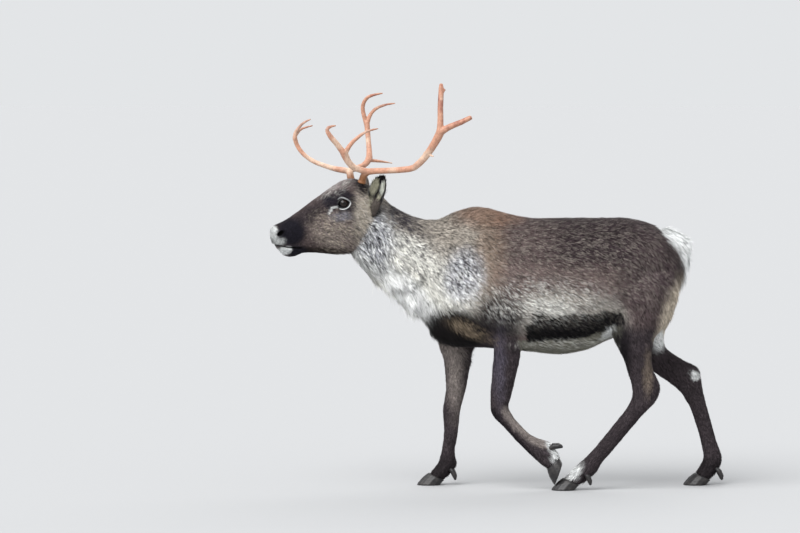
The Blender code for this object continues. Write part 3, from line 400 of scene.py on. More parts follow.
TRUNK_MARKS: tuple[Mark, ...] = (
    Band(Tint.FLANK, ((-0.10, 0.90), (0.1, 0.86), (0.3, 0.84), (0.5, 0.83), (0.62, 0.72)),
         ((-0.1, 0.0), (0.8, 0.0)), 0.10, 0.85),
    Patch(Tint.FLANK, (0.060, 0.930), (0.110, 0.110), 0.0, 1.0, 0.5),
    Patch(Tint.TAN, (-0.050, 0.900), (0.050, 0.170), 0.0, 0.9, 0.8),
    Patch(Tint.HAUNCH, (0.58, 0.78), (0.15, 0.21), 0.0, 0.4, 0.85),
    Band(Tint.CREAM, ((0.03, 0.69), (0.09, 0.745), (0.2, 0.765), (0.3, 0.75), (0.42, 0.72), (0.47, 0.68)),
         ((0.0, 0.60), (0.47, 0.60)), 0.06, 0.75),
    Patch(Tint.BRIGHT, (0.175, 0.692), (0.080, 0.030), -8.0, 0.6, 0.75),
    Band(Tint.SHOULDER, ((-0.6, 1.3), (-0.065, 1.3)), ((-0.6, 0.55), (-0.065, 0.60)), 0.10, 0.95),
    Patch(Tint.RUFOUS, (-0.055, 1.035), (0.125, 0.050), 0.0, 0.5, 0.8),
    Band(Tint.PALE, ((-0.55, 0.98), (-0.45, 0.985), (-0.36, 0.965), (-0.28, 0.935), (-0.2, 0.90), (-0.09, 0.86)),
         ((-0.55, 0.50), (-0.24, 0.60), (-0.09, 0.67)), 0.07, 0.95),
    Patch(Tint.TAN, (-0.072, 0.870), (0.026, 0.150), -4.0, 1.0, 0.75),
    Patch(Tint.SHOULDER, (-0.100, 0.715), (0.060, 0.050), -20.0, 0.9, 0.6),
    Patch(Tint.SHOULDER, (-0.205, 0.915), (0.075, 0.050), -10.0, 0.6, 0.7),
    Patch(Tint.BLUE_GREY, (-0.142, 0.815), (0.068, 0.090), -12.0, 0.4, 0.8),
    Patch(Tint.MANE, (-0.335, 0.732), (0.165, 0.050), -43.0, 0.5, 0.95),
    Patch(Tint.SLATE, (-0.372, 1.026), (0.070, 0.034), -40.0, 0.6, 0.85),
    Patch(Tint.GREY, (-0.480, 0.950), (0.070, 0.120), 8.0, 0.4, 0.85),
    Patch(Tint.MANE, (-0.500, 0.858), (0.045, 0.022), -25.0, 0.5, 0.8),
    Patch(Tint.BRISKET, (-0.165, 0.610), (0.135, 0.076), -15.0, 0.30, 1.0),
    Patch(Tint.FAWN, (-0.116, 0.606), (0.080, 0.014), -28.0, 0.8, 0.5),
    Patch(Tint.ELBOW, (-0.012, 0.658), (0.092, 0.092), 0.0, 0.5, 0.95),
    # Painted shade: the whitish belly is painted darker for the shade under the body
    Band(Tint.BELLY, ((0.09, 0.575), (0.19, 0.575), (0.287, 0.580), (0.381, 0.605), (0.45, 0.635)),
         ((0.06, 0.40), (0.46, 0.40)), 0.008, 1.0),
    Band(Tint.STRIPE, ((0.100, 0.640), (0.112, 0.675), (0.130, 0.690), (0.175, 0.674), (0.21, 0.666), (0.34, 0.680),
                       (0.381, 0.686), (0.426, 0.678), (0.460, 0.650)),
         ((0.090, 0.566), (0.194, 0.570), (0.287, 0.576), (0.381, 0.602), (0.452, 0.628)), 0.010),
    Patch(Tint.WHITE, (0.398, 0.592), (0.036, 0.018), 42.0, 0.5, 0.9),
    Band(Tint.LEG, ((-0.32, 0.515), (-0.10, 0.535), (-0.05, 0.60), (0.055, 0.60), (0.105, 0.475),
                    (0.42, 0.475), (0.46, 0.63), (0.9, 0.60)), ((-0.32, 0.0), (0.9, 0.0)), 0.06),
    Patch(Tint.LEG_BLUE, (0.002, 0.480), (0.022, 0.130), 0.0, 0.7, 0.8, Side.NEAR),
    Patch(Tint.LEG_PALE, (-0.160, 0.440), (0.030, 0.150), 3.0, 0.9, 0.8, Side.FAR),
    Patch(Tint.LEG_PALE, (-0.190, 0.540), (0.060, 0.035), 0.0, 0.7, 0.6, Side.FAR),
    Stroke(Tint.LEG_PALE, ((0.030, 0.300), (0.075, 0.240), (0.125, 0.195), (0.160, 0.180)), 0.016, 0.8, 0.7,
           Side.NEAR),
    Stroke(Tint.THIGH, ((-0.025, 0.300), (0.030, 0.225), (0.085, 0.160), (0.130, 0.115)), 0.014, 0.8, 0.8,
           Side.NEAR),
    Patch(Tint.THIGH, (0.450, 0.530), (0.036, 0.115), 0.0, 0.5, 0.9),
    Stroke(Tint.FRINGE, ((0.694, 0.800), (0.674, 0.765), (0.656, 0.732), (0.636, 0.676), (0.612, 0.580)), 0.032,
           0.8, 0.95),
    Patch(Tint.GASKIN, (0.552, 0.450), (0.016, 0.075), 0.0, 0.7, 0.6, Side.NEAR),
    Patch(Tint.WHITE, (0.600, 0.565), (0.034, 0.046), 0.0, 0.5, 0.9, Side.FAR),
    Patch(Tint.WHITE, (0.742, 0.422), (0.018, 0.016), 0.0, 0.4, 0.95, Side.FAR),
    Patch(Tint.WHITE, (0.200, 0.160), (0.020, 0.044), 32.0, 0.4, 0.95, Side.NEAR),
    Patch(Tint.WHITE, (0.218, 0.128), (0.030, 0.020), 0.0, 0.5, 0.95, Side.NEAR),
    Patch(Tint.WHITE, (0.290, 0.072), (0.034, 0.020), 40.0, 0.45, 0.8, Side.NEAR),
    Patch(Tint.DARK_LEG, (-0.22, 0.06), (0.09, 0.05), 0.0, 0.5, 0.8, Side.FAR),
    Patch(Tint.DARK_LEG, (0.80, 0.06), (0.09, 0.05), 0.0, 0.5, 0.8, Side.FAR),
)
TRUNK_STREAKS = (
    Streaks(Patch(Tint.SHOULDER, (-0.375, 1.030), (0.085, 0.050), -38.0, 0.5, 0.7), 0.30),
    Streaks(Patch(Tint.SLATE, (-0.360, 1.000), (0.110, 0.060), -38.0, 0.6, 0.85), 0.34),
    Streaks(Patch(Tint.WHITE, (-0.140, 0.800), (0.068, 0.095), -12.0, 0.5, 0.9), 0.42),
    Streaks(Patch(Tint.SLATE, (-0.140, 0.825), (0.066, 0.090), -12.0, 0.5, 0.95), 0.34),
    Streaks(Patch(Tint.SLATE, (-0.310, 0.870), (0.150, 0.080), -25.0, 0.6, 0.75), 0.24),
    Streaks(Patch(Tint.WHITE, (-0.470, 0.935), (0.075, 0.115), 8.0, 0.5, 0.9), 0.40),
    Streaks(Patch(Tint.PEDICLE, (-0.480, 0.930), (0.075, 0.120), 8.0, 0.5, 0.9), 0.36),
    Streaks(Patch(Tint.FAWN, (-0.110, 0.610), (0.090, 0.030), -26.0, 0.6, 0.85), 0.42),
    Streaks(Patch(Tint.PALE, (0.240, 0.556), (0.150, 0.020), 0.0, 0.6, 0.8), 0.45),
    Streaks(Patch(Tint.BRIGHT, (0.14, 0.72), (0.22, 0.07), 0.0, 0.6, 0.7), 0.40),
    Streaks(Patch(Tint.BACK, (0.20, 0.72), (0.26, 0.09), 0.0, 0.6, 0.45), 0.28),
    Streaks(Patch(Tint.SHOULDER, (0.25, 0.85), (0.45, 0.20), 0.0, 0.5, 0.30), 0.36),
    Streaks(Patch(Tint.ELBOW, (-0.16, 0.95), (0.16, 0.12), 0.0, 0.6, 0.5), 0.34),
)

HEAD_MARKS: tuple[Mark, ...] = (
    Band(Tint.FACE, ((-0.06, 1.4), (0.45, 1.4)), ((-0.06, 0.5), (0.45, 0.5)), 0.05),
    Patch(Tint.CHEEK, (0.160, 0.960), (0.085, 0.055), 14.0, 0.6, 0.9),
    Patch(Tint.TEMPLE, (0.055, 1.030), (0.046, 0.090), 0.0, 0.6, 0.85),
    Patch(Tint.MUZZLE, (0.262, 1.028), (0.085, 0.026), -35.0, 0.6, 0.65),
    Patch(Tint.FOREHEAD, (0.140, 1.150), (0.070, 0.020), -36.0, 0.6, 0.85),
    Stroke(Tint.BRIDGE_EDGE, ((0.120, 1.168), (0.180, 1.132), (0.260, 1.075), (0.300, 1.045)), 0.0045, 0.8, 0.6),
    Patch(Tint.PEDICLE, (0.056, 1.142), (0.032, 0.038), 0.0, 0.45, 0.95),
    Patch(Tint.EAR_FRONT, (0.026, 1.092), (0.014, 0.038), 12.0, 0.6, 0.8),
    Patch(Tint.ORBIT, (0.1314, 1.0765), (0.040, 0.037), 0.0, 0.30, 0.9),
    Patch(Tint.ORBIT, (0.184, 1.076), (0.022, 0.028), 12.0, 0.5, 0.95),
    Stroke(Tint.ORBIT, ((0.184, 1.087), (0.160, 1.110), (0.131, 1.114), (0.104, 1.100)), 0.006, 0.6, 0.6),
    Patch(Tint.LAVENDER, (0.148, 1.024), (0.036, 0.017), -8.0, 0.6, 0.9),
    Stroke(Tint.WHITE, ((0.158, 1.061), (0.170, 1.061), (0.179, 1.056), (0.185, 1.047), (0.190, 1.034)), 0.0036,
           0.6, 0.85),
    Patch(Tint.JAW, (0.215, 0.893), (0.110, 0.017), 0.0, 0.6, 0.9),
    Patch(Tint.MUZZLE, (0.330, 0.965), (0.056, 0.055), 0.0, 0.35, 1.0),
    Patch(Tint.MUZZLE, (0.306, 0.895), (0.040, 0.022), 0.0, 0.45, 1.0),
    Band(Tint.THROAT, ((-0.02, 0.90), (0.10, 0.884), (0.24, 0.880)), ((-0.02, 0.80), (0.24, 0.80)), 0.010, 0.9),
    Patch(Tint.WHITE, (0.402, 0.974), (0.022, 0.050), -6.0, 0.3, 1.0),
    Patch(Tint.LIP, (0.380, 0.931), (0.024, 0.015), -14.0, 0.6, 0.95),
    Patch(Tint.WHITE, (0.354, 0.898), (0.026, 0.015), -18.0, 0.3, 1.0),
    Patch(Tint.MUZZLE, (0.330, 0.875), (0.030, 0.005), 0.0, 0.6, 0.9),
)
NOSTRIL = Patch(Tint.WET_BLACK, (0.3700, 0.9620), (0.0150, 0.0085), -30.0, 0.25, 1.0)
NOSTRIL_EDGE = Patch(Tint.MUZZLE, (0.3660, 0.9620), (0.0230, 0.0160), -25.0, 0.4, 0.85)
MOUTH_LINE = ((0.285, 0.9080), (0.298, 0.9070), (0.320, 0.9085), (0.345, 0.9110), (0.370, 0.9160), (0.392, 0.9215))
# The rump's white edge, as height and how far back, and the nape's line, as height and forward of the poll
RUMP_EDGE = ((0.60, 0.640), (0.70, 0.662), (0.784, 0.674), (0.821, 0.680), (0.866, 0.676), (0.9075, 0.658),
             (0.941, 0.620), (0.975, 0.588), (0.99, 0.580))
NAPE_LINE = ((0.86, 0.100), (0.95, 0.050), (1.04, 0.012), (1.13, -0.010))
HEAD_STREAKS = (
    Streaks(Patch(Tint.FRINGE, (0.150, 0.965), (0.100, 0.070), 20.0, 0.6, 0.6), 0.34),
    Streaks(Patch(Tint.PEDICLE, (0.120, 0.965), (0.120, 0.090), 10.0, 0.6, 0.55), 0.34),
    Streaks(Patch(Tint.FRINGE, (0.050, 1.040), (0.050, 0.080), 0.0, 0.6, 0.7), 0.36),
    Streaks(Patch(Tint.THROAT, (0.150, 1.145), (0.080, 0.030), -33.0, 0.6, 0.6), 0.34),
)


def mouth_height(forward: Points) -> Points:
    """Height of the line between the lips at places forward of the poll."""
    return np.interp(forward, *zip(*MOUTH_LINE))


class Markings:
    """The colours of the coat and skin at any place, worked out from the named markings."""

    # The two noises that make edges ragged: size of their cells and how far they stray, and its share on the head
    RAGGED_CELL = 0.035
    RAGGED_STRAY = 0.014
    FINE_CELL = 0.010
    FINE_STRAY = 0.012
    HEAD_STRAY = 0.35

    def __init__(self) -> None:
        """Draws the noises that make edges ragged and strew streaks."""
        self.ragged = Grain(11)
        self.fine = Grain(12)
        self.streak = Grain(13)

    def stray(self, points: Points, grain: Grain, size: float, shifts: Sequence[float]) -> Points:
        """Rows of noise about 0, one column for each shift."""
        return np.column_stack([grain(points + shift, size) for shift in shifts]) - 0.5

    def paint(self, points: Points) -> Points:
        """Colours at places on the animal.

        Args:
            points: Rows of x, y, z.

        Returns:
            Rows of light-linear red, green and blue.
        """
        wave = self.stray(points, self.ragged, self.RAGGED_CELL, (0.0, 3.1, 7.7))
        ripple = self.stray(points, self.fine, self.FINE_CELL, (0.0, 2.3, 5.9))
        moved = points + wave * self.RAGGED_STRAY + ripple * self.FINE_STRAY
        colours = Tint.BACK.spread(len(points))
        near = points[:, 1] < MIDDLE_Y
        across = np.abs(points[:, 1] - MIDDLE_Y)
        for mark in TRUNK_MARKS:
            self.lay(colours, mark, mark.cover(moved[:, 0], moved[:, 2]), near)
        for mark in TRUNK_STREAKS:
            self.lay(colours, mark.area, mark.cover(points[:, 0], points[:, 2], points, self.streak), near)
        self.paint_rump(colours, moved, across)
        self.paint_head(colours, points, moved)
        return colours

    def lay(self, colours: Points, mark: Mark, cover: Points, near: Points) -> None:
        """Lays one marking over the colours so far.

        Args:
            colours: One row for each place.
            mark: The marking.
            cover: How much it covers each place.
            near: Which places are on the near side.
        """
        if mark.side is Side.NEAR:
            cover = cover * near
        if mark.side is Side.FAR:
            cover = cover * ~near
        blend(colours, mark.tint.linear(), cover)

    def paint_rump(self, colours: Points, moved: Points, across: Points) -> None:
        """Paints the white edge of the rump round the tail, and the tail itself.

        Args:
            colours: One row for each place.
            moved: The places, strayed a little.
            across: Their distances from the middle plane.
        """
        behind = moved[:, 0] - np.interp(moved[:, 2], *zip(*RUMP_EDGE))
        cover = smooth_step(behind, -0.004, 0.008)
        cover *= smooth_step(moved[:, 2], 0.60, 0.66) * (1 - smooth_step(across, 0.070, 0.100))
        blend(colours, Tint.WHITE.linear(), cover)

    def paint_head(self, colours: Points, points: Points, moved: Points) -> None:
        """Paints the face, in the head's own directions, fading into the neck behind the cheek.

        Args:
            colours: One row for each place.
            points: The places.
            moved: The places, strayed a little.
        """
        place = HEAD.local(points)
        shifted = HEAD.local(points + (moved - points) * self.HEAD_STRAY)
        forward = place[:, 0]
        ahead = forward - np.interp(place[:, 2], *zip(*NAPE_LINE))
        on_head = smooth_step(ahead, -0.012, 0.018) * smooth_step(place[:, 2], 0.80, 0.84)
        face = colours.copy()
        for mark in HEAD_MARKS:
            blend(face, mark.tint.linear(), mark.cover(shifted[:, 0], shifted[:, 2]))
        for mark in HEAD_STREAKS:
            blend(face, mark.area.tint.linear(), mark.cover(forward, place[:, 2], place, self.streak))
        sides = smooth_step(np.abs(place[:, 1]), 0.016, 0.026)
        for mark in (NOSTRIL_EDGE, NOSTRIL):
            blend(face, mark.tint.linear(), mark.cover(forward, place[:, 2]) * sides)
        off_line = np.abs(place[:, 2] - mouth_height(forward))
        lips = (1 - smooth_step(off_line, 0.0012, 0.0034)) * smooth_step(forward, 0.280, 0.290)
        blend(face, Tint.WET_BLACK.linear(), lips)
        blend(colours, face, on_head)


MARKINGS = Markings()


@dataclass(frozen=True)
class CoatStation:
    """How the coat grows at one place; between places it blends.

    Args:
        place: x, y, z; y counts from the middle plane.
        lie: Direction that the hair lies in.
        length: Length of a tuft.
        width: Width of a tuft at its middle.
        depth: How far the tips lie off the skin.
        paired: Whether the other side has the same.
    """

    place: tuple[float, float, float]
    lie: tuple[float, float, float]
    length: float
    width: float
    depth: float
    paired: bool = True

    @property
    def sides(self) -> tuple[int, ...]:
        """1 for the side that place gives, and -1 for its double."""
        return (1, -1) if self.paired and self.place[1] else (1,)


TRUNK_STATIONS = tuple(CoatStation(*row) for row in (
    ((-0.46, 0.02, 1.10), (0.75, 0.05, -0.55), 0.0172, 0.0021, 0.0050),
    ((-0.40, 0.06, 1.00), (0.72, 0.10, -0.65), 0.0218, 0.0024, 0.0060),
    ((-0.47, 0.05, 0.92), (0.50, 0.05, -0.85), 0.0265, 0.0026, 0.0090),
    ((-0.36, 0.00, 1.045), (0.86, 0.00, -0.45), 0.0234, 0.0024, 0.0060),
    ((-0.27, 0.08, 0.95), (0.80, 0.10, -0.55), 0.0250, 0.0026, 0.0070),
    ((-0.30, 0.09, 0.84), (0.72, 0.05, -0.68), 0.0290, 0.0024, 0.0080),
    ((-0.50, 0.00, 0.855), (0.72, 0.00, -0.69), 0.0380, 0.0026, 0.0110),
    ((-0.43, 0.02, 0.785), (0.70, 0.00, -0.71), 0.0430, 0.0027, 0.0120),
    ((-0.36, 0.03, 0.725), (0.62, 0.00, -0.78), 0.0450, 0.0028, 0.0120),
    ((-0.28, 0.03, 0.655), (0.45, 0.00, -0.89), 0.0380, 0.0028, 0.0110),
    ((-0.20, 0.04, 0.590), (0.62, 0.00, -0.78), 0.0357, 0.0032, 0.0100),
    ((-0.10, 0.00, 1.05), (0.97, 0.00, -0.20), 0.0203, 0.0024, 0.0060),
    ((-0.15, 0.14, 0.90), (0.78, 0.05, -0.62), 0.0218, 0.0025, 0.0060),
    ((-0.12, 0.14, 0.75), (0.72, 0.00, -0.69), 0.0234, 0.0026, 0.0070),
    ((-0.08, 0.06, 0.53), (0.80, 0.00, -0.60), 0.0265, 0.0028, 0.0080),
    ((0.20, 0.00, 1.02), (0.99, 0.00, -0.12), 0.0203, 0.0025, 0.0060),
    ((0.20, 0.20, 0.85), (0.88, 0.00, -0.47), 0.0218, 0.0026, 0.0060),
    ((0.20, 0.20, 0.68), (0.88, 0.00, -0.47), 0.0234, 0.0028, 0.0070),
    ((0.20, 0.04, 0.51), (0.92, 0.00, -0.38), 0.0306, 0.0029, 0.0080),
    ((0.45, 0.20, 0.80), (0.84, 0.00, -0.54), 0.0218, 0.0026, 0.0060),
    ((0.40, 0.06, 0.58), (0.80, 0.00, -0.60), 0.0265, 0.0028, 0.0070),
    ((0.55, 0.00, 1.01), (0.96, 0.00, -0.26), 0.0203, 0.0025, 0.0060),
    ((0.60, 0.14, 0.85), (0.60, 0.00, -0.80), 0.0218, 0.0026, 0.0060),
    ((0.60, 0.14, 0.68), (0.45, 0.00, -0.89), 0.0218, 0.0026, 0.0060),
    ((0.67, 0.08, 0.68), (0.50, 0.00, -0.86), 0.0340, 0.0029, 0.0090),
    ((0.68, 0.04, 0.93), (0.70, 0.00, -0.70), 0.0340, 0.0029, 0.0080),
    ((0.71, 0.02, 0.85), (0.25, 0.00, -0.97), 0.0493, 0.0033, 0.0120),
    ((0.70, 0.02, 0.79), (0.05, 0.00, -1.00), 0.0442, 0.0033, 0.0120),
    ((0.50, 0.12, 0.58), (0.40, 0.00, -0.92), 0.0187, 0.0024, 0.0050),
))
LEG_STATIONS = tuple(CoatStation(*row, paired=False) for row in (
    ((0.00, -0.10, 0.55), (0.30, 0.00, -0.95), 0.0200, 0.0026, 0.0040),
    ((0.01, -0.10, 0.42), (0.10, 0.00, -1.00), 0.0130, 0.0021, 0.0025),
    ((0.01, -0.10, 0.30), (0.35, 0.00, -0.94), 0.0100, 0.0018, 0.0020),
    ((0.10, -0.10, 0.19), (0.72, 0.00, -0.70), 0.0100, 0.0018, 0.0020),
    ((0.19, -0.10, 0.13), (0.60, 0.00, -0.80), 0.0200, 0.0024, 0.0035),
    ((-0.17, 0.10, 0.55), (0.10, 0.00, -1.00), 0.0200, 0.0026, 0.0040),
    ((-0.16, 0.10, 0.40), (0.05, 0.00, -1.00), 0.0120, 0.0021, 0.0025),
    ((-0.17, 0.10, 0.22), (-0.05, 0.00, -1.00), 0.0090, 0.0018, 0.0020),
    ((-0.20, 0.10, 0.07), (-0.35, 0.00, -0.94), 0.0130, 0.0022, 0.0030),
    ((0.53, -0.11, 0.48), (0.30, 0.00, -0.95), 0.0180, 0.0026, 0.0040),
    ((0.54, -0.11, 0.38), (0.20, 0.00, -0.97), 0.0130, 0.0021, 0.0030),
    ((0.47, -0.10, 0.26), (-0.60, 0.00, -0.80), 0.0100, 0.0018, 0.0020),
    ((0.38, -0.10, 0.16), (-0.62, 0.00, -0.78), 0.0100, 0.0018, 0.0020),
    ((0.30, -0.10, 0.08), (-0.60, 0.00, -0.80), 0.0170, 0.0022, 0.0030),
    ((0.60, 0.11, 0.50), (0.60, 0.00, -0.80), 0.0180, 0.0026, 0.0040),
    ((0.70, 0.11, 0.40), (0.60, 0.00, -0.80), 0.0120, 0.0021, 0.0030),
    ((0.76, 0.10, 0.32), (0.25, 0.00, -0.97), 0.0100, 0.0018, 0.0020),
    ((0.79, 0.10, 0.18), (0.12, 0.00, -0.99), 0.0090, 0.0018, 0.0020),
    ((0.79, 0.10, 0.07), (-0.30, 0.00, -0.95), 0.0140, 0.0022, 0.0030),
))

# The same on the head, as forward of the poll, out to the side and height
HEAD_STATIONS = tuple(CoatStation(*row) for row in (
    ((0.395, 0.000, 0.965), (-0.60, 0.50, 0.40), 0.0040, 0.0011, 0.0012),
    ((0.370, 0.035, 0.940), (-0.90, 0.10, -0.20), 0.0045, 0.0011, 0.0012),
    ((0.360, 0.020, 0.890), (-0.85, 0.10, -0.40), 0.0070, 0.0012, 0.0015),
    ((0.320, 0.035, 0.960), (-0.95, 0.05, -0.05), 0.0060, 0.0012, 0.0015),
    ((0.270, 0.000, 1.060), (-0.85, 0.00, 0.50), 0.0070, 0.0013, 0.0016),
    ((0.250, 0.035, 0.970), (-0.96, 0.05, -0.15), 0.0080, 0.0014, 0.0020),
    ((0.190, 0.000, 1.115), (-0.80, 0.00, 0.60), 0.0090, 0.0014, 0.0020),
    ((0.170, 0.060, 1.010), (-0.93, 0.05, -0.25), 0.0100, 0.0016, 0.0025),
    ((0.130, 0.070, 0.950), (-0.85, 0.05, -0.50), 0.0140, 0.0019, 0.0035),
    ((0.200, 0.020, 0.885), (-0.95, 0.00, -0.15), 0.0110, 0.0016, 0.0025),
    ((0.110, 0.020, 1.160), (-0.70, 0.10, 0.55), 0.0130, 0.0017, 0.0030),
    ((0.060, 0.065, 1.060), (-0.80, 0.05, -0.55), 0.0140, 0.0019, 0.0035),
    ((0.060, 0.060, 0.940), (-0.70, 0.05, -0.70), 0.0220, 0.0023, 0.0055),
    ((0.060, 0.010, 0.880), (-0.85, 0.00, -0.50), 0.0300, 0.0027, 0.0070),
    ((0.020, 0.040, 1.130), (-0.75, 0.10, -0.35), 0.0160, 0.0020, 0.0040),
))


@dataclass
class Growth:
    """How the coat grows at each of many places.

    Args:
        lie: Unit directions.
        length: Tuft lengths.
        width: Tuft widths.
        depth: How far the tips lie off the skin.
    """

    lie: Points
    length: Points
    width: Points
    depth: Points


class CoatPlan:
    """Blends the coat's stations, so that any place has a lie, a length, a width and a depth."""

    SHARPNESS = 5

    def __init__(self) -> None:
        """Lists every station and its double, in x, y, z."""
        places = []
        facts = []
        for station in (*TRUNK_STATIONS, *LEG_STATIONS):
            for side in station.sides:
                x, y, z = station.place
                places.append((x, MIDDLE_Y + y * side, z))
                dx, dy, dz = station.lie
                facts.append((dx, dy * side, dz, station.length, station.width, station.depth))
        for station in HEAD_STATIONS:
            for side in station.sides:
                forward, out, height = station.place
                places.append(tuple(HEAD.world(np.array([[forward, out * side, height]]))[0]))
                ahead, aside, up = station.lie
                turned = HEAD.direction(np.array([[ahead, aside * side, up]]))[0]
                facts.append((*turned, station.length, station.width, station.depth))
        self.places = np.array(places)
        self.facts = np.array(facts)

    def at(self, points: Points) -> Growth:
        """The growth at places.

        Args:
            points: Rows of x, y, z.

        Returns:
            Lie, length, width and depth, one row for each.
        """
        blended = np.zeros((len(points), self.facts.shape[1]))
        total = np.zeros(len(points))
        for place, fact in zip(self.places, self.facts):
            away = np.sum((points - place) ** 2, axis=1) + 1e-6
            weight = away ** (-self.SHARPNESS / 2)
            blended += weight[:, None] * fact
            total += weight
        blended /= total[:, None]
        return Growth(unit(blended[:, :3]), blended[:, 3], blended[:, 4], blended[:, 5])


PLAN = CoatPlan()


class Value:
    """A shader socket that takes part in sums and products."""

    def __init__(self, shader: "Shader", socket: bpy.types.NodeSocket) -> None:
        """Keeps the socket and its shader."""
        self.shader = shader
        self.socket = socket

    def maths(self, operation: str, other: Any) -> "Value":
        """A Math node of this value and another."""
        return self.shader.node("ShaderNodeMath", {"operation": operation}, {0: self, 1: other})

    def __add__(self, other: Any) -> "Value":
        """Sum."""
        return self.maths("ADD", other)

    def __mul__(self, other: Any) -> "Value":
        """Product."""
        return self.maths("MULTIPLY", other)


class Shader:
    """Builds one material's nodes round a Principled surface."""

    def __init__(self, name: str) -> None:
        """Starts a material.

        Args:
            name: Its name.
        """
        self.material = bpy.data.materials.new(name)
        self.material.use_nodes = True
        self.tree = self.material.node_tree
        self.surface = self.tree.nodes["Principled BSDF"]

    def node(self, kind: str, settings: dict[str, Any], values: dict[Any, Any], output: Any = 0) -> Value:
        """Adds a node.

        Args:
            kind: The node's type.
            settings: Its properties, and a ramp's stops as place and colour.
            values: Numbers or links for its sockets, by name or number.
            output: The socket that is handed back.

        Returns:
            The output as a value.
        """
        node = self.tree.nodes.new(kind)
        for name, setting in settings.items():
            if name == "stops":
                self.set_stops(node.color_ramp, setting)
            else:
                setattr(node, name, setting)
        for name, value in values.items():
            self.feed(node.inputs[name], value)
        return Value(self, node.outputs[output])

    def set_stops(self, ramp: bpy.types.ColorRamp, stops: Sequence[tuple[float, Any]]) -> None:
        """Gives a ramp its stops.

        Args:
            ramp: The ramp.
            stops: Places, each with its colour.
        """
        while len(ramp.elements) < len(stops):
            ramp.elements.new(1.0)
        for element, (place, shade) in zip(ramp.elements, stops):
            element.position = place
            element.color = (*shade, 1.0)

    def feed(self, socket: bpy.types.NodeSocket, value: Any) -> None:
        """Links a value to a socket, or sets a number or colour on it.

        Args:
            socket: The input.
            value: What it is given.
        """
        if isinstance(value, Value):
            self.tree.links.new(value.socket, socket)
        elif isinstance(value, np.ndarray) and socket.type == "RGBA":
            socket.default_value = (*value, 1.0)
        else:
            socket.default_value = value

    def shaded(self, tint: Value, grain: Value, *stops: tuple[float, float]) -> Value:
        """A tint made darker and lighter by a grain.

        Args:
            tint: The colour.
            grain: Values from 0 to 1.
            stops: Places on the grain, each with its brightness.

        Returns:
            The shaded colour.
        """
        greys = [(place, (level,) * 3) for place, level in stops]
        shade = self.node("ShaderNodeValToRGB", {"stops": greys}, {0: grain})
        multiply = {"data_type": "RGBA", "blend_type": "MULTIPLY"}
        return self.node("ShaderNodeMix", multiply, {0: 1.0, 6: tint, 7: shade}, 2)

    def noise(self, size: float, detail: float = 2.0, stretch: Sequence[float] = (1, 1, 1)) -> Value:
        """Noise on the object's own coordinates.

        Args:
            size: Size of its features, in metres.
            detail: How many finer layers it has.
            stretch: How much finer it is along x, y and z.

        Returns:
            Values from 0 to 1.
        """
        place = self.node("ShaderNodeTexCoord", {}, {}, "Object")
        bent = self.node("ShaderNodeMapping", {}, {"Vector": place, "Scale": tuple(stretch)})
        return self.node("ShaderNodeTexNoise", {}, {"Vector": bent, "Scale": 1 / size, "Detail": detail})

    def tint(self) -> Value:
        """The colours painted on the mesh."""
        return self.node("ShaderNodeAttribute", {"attribute_name": TINT_LAYER}, {}, "Color")

    def bump(self, height: Value, distance: float) -> Value:
        """A bump's normal from a height from 0 to 1."""
        return self.node("ShaderNodeBump", {}, {"Height": height, "Distance": distance, "Strength": 1.0})

    def finish(self, **sockets: Any) -> bpy.types.Material:
        """Feeds the surface's sockets.

        Args:
            sockets: Values, by the sockets' names with underscores.

        Returns:
            The material.
        """
        for name, value in sockets.items():
            words = " ".join(word.upper() if word == "ior" else word.capitalize() for word in name.split("_"))
            self.feed(self.surface.inputs[words], value)
        return self.material


@dataclass(frozen=True)
class SkinFinish:
    """Short fur as colour and bump on the skin.

    Args:
        streak: Width of the fine streaks.
        depth: Height of the bump.
    """

    streak: float = 0.0022
    depth: float = 0.0012

    def build(self) -> bpy.types.Material:
        """Builds the shader.

        Returns:
            The material.
        """
        shader = Shader("skin")
        grain = shader.noise(self.streak, 3.0, (0.35, 1.0, 0.35))
        colour = shader.shaded(shader.tint(), grain, (0.25, 0.42), (0.75, 1.0))
        return shader.finish(
            base_color=colour, roughness=0.85, specular_ior_level=0.1, normal=shader.bump(grain, self.depth))


@dataclass(frozen=True)
class CoatFinish:
    """The tufts' finish: the markings, with slight changes along the hair.

    Args:
        roughness: Of the hair.
        grain: Size of the changes.
    """

    roughness: float = 0.72
    grain: float = 0.0016

    def build(self) -> bpy.types.Material:
        """Builds the shader.

        Returns:
            The material.
        """
        shader = Shader("coat")
        colour = shader.shaded(shader.tint(), shader.noise(self.grain, 1.0), (0.2, 0.80), (0.8, 1.12))
        return shader.finish(base_color=colour, roughness=self.roughness, specular_ior_level=0.10)


@dataclass(frozen=True)
class AntlerFinish:
    """Bare autumn antler bone: furrowed along its length, stained near the base and tips.

    Args:
        furrow: Width of the furrows.
        mottle: Size of the paler and darker clouds.
        pore: Size of the pores.
        roughness: Of the smoothest bone.
        depth: Height of the bump.
    """

    furrow: float = 0.0030
    mottle: float = 0.016
    pore: float = 0.0014
    roughness: float = 0.36
    depth: float = 0.0012

    def build(self) -> bpy.types.Material:
        """Builds the shader.

        Returns:
            The material.
        """
        shader = Shader("antler_bone")
        mottle = shader.noise(self.mottle, 3.0)
        furrows = shader.noise(self.furrow, 3.0, (0.6, 1.0, 0.3))
        clouded = shader.shaded(shader.tint(), mottle, (0.3, 0.82), (0.7, 1.08))
        height = furrows * 0.7 + shader.noise(self.pore, 2.0) * 0.3
        return shader.finish(
            base_color=shader.shaded(clouded, furrows, (0.3, 0.72), (0.55, 1.0)),
            roughness=mottle * 0.25 + self.roughness, specular_ior_level=0.45,
            normal=shader.bump(height, self.depth))


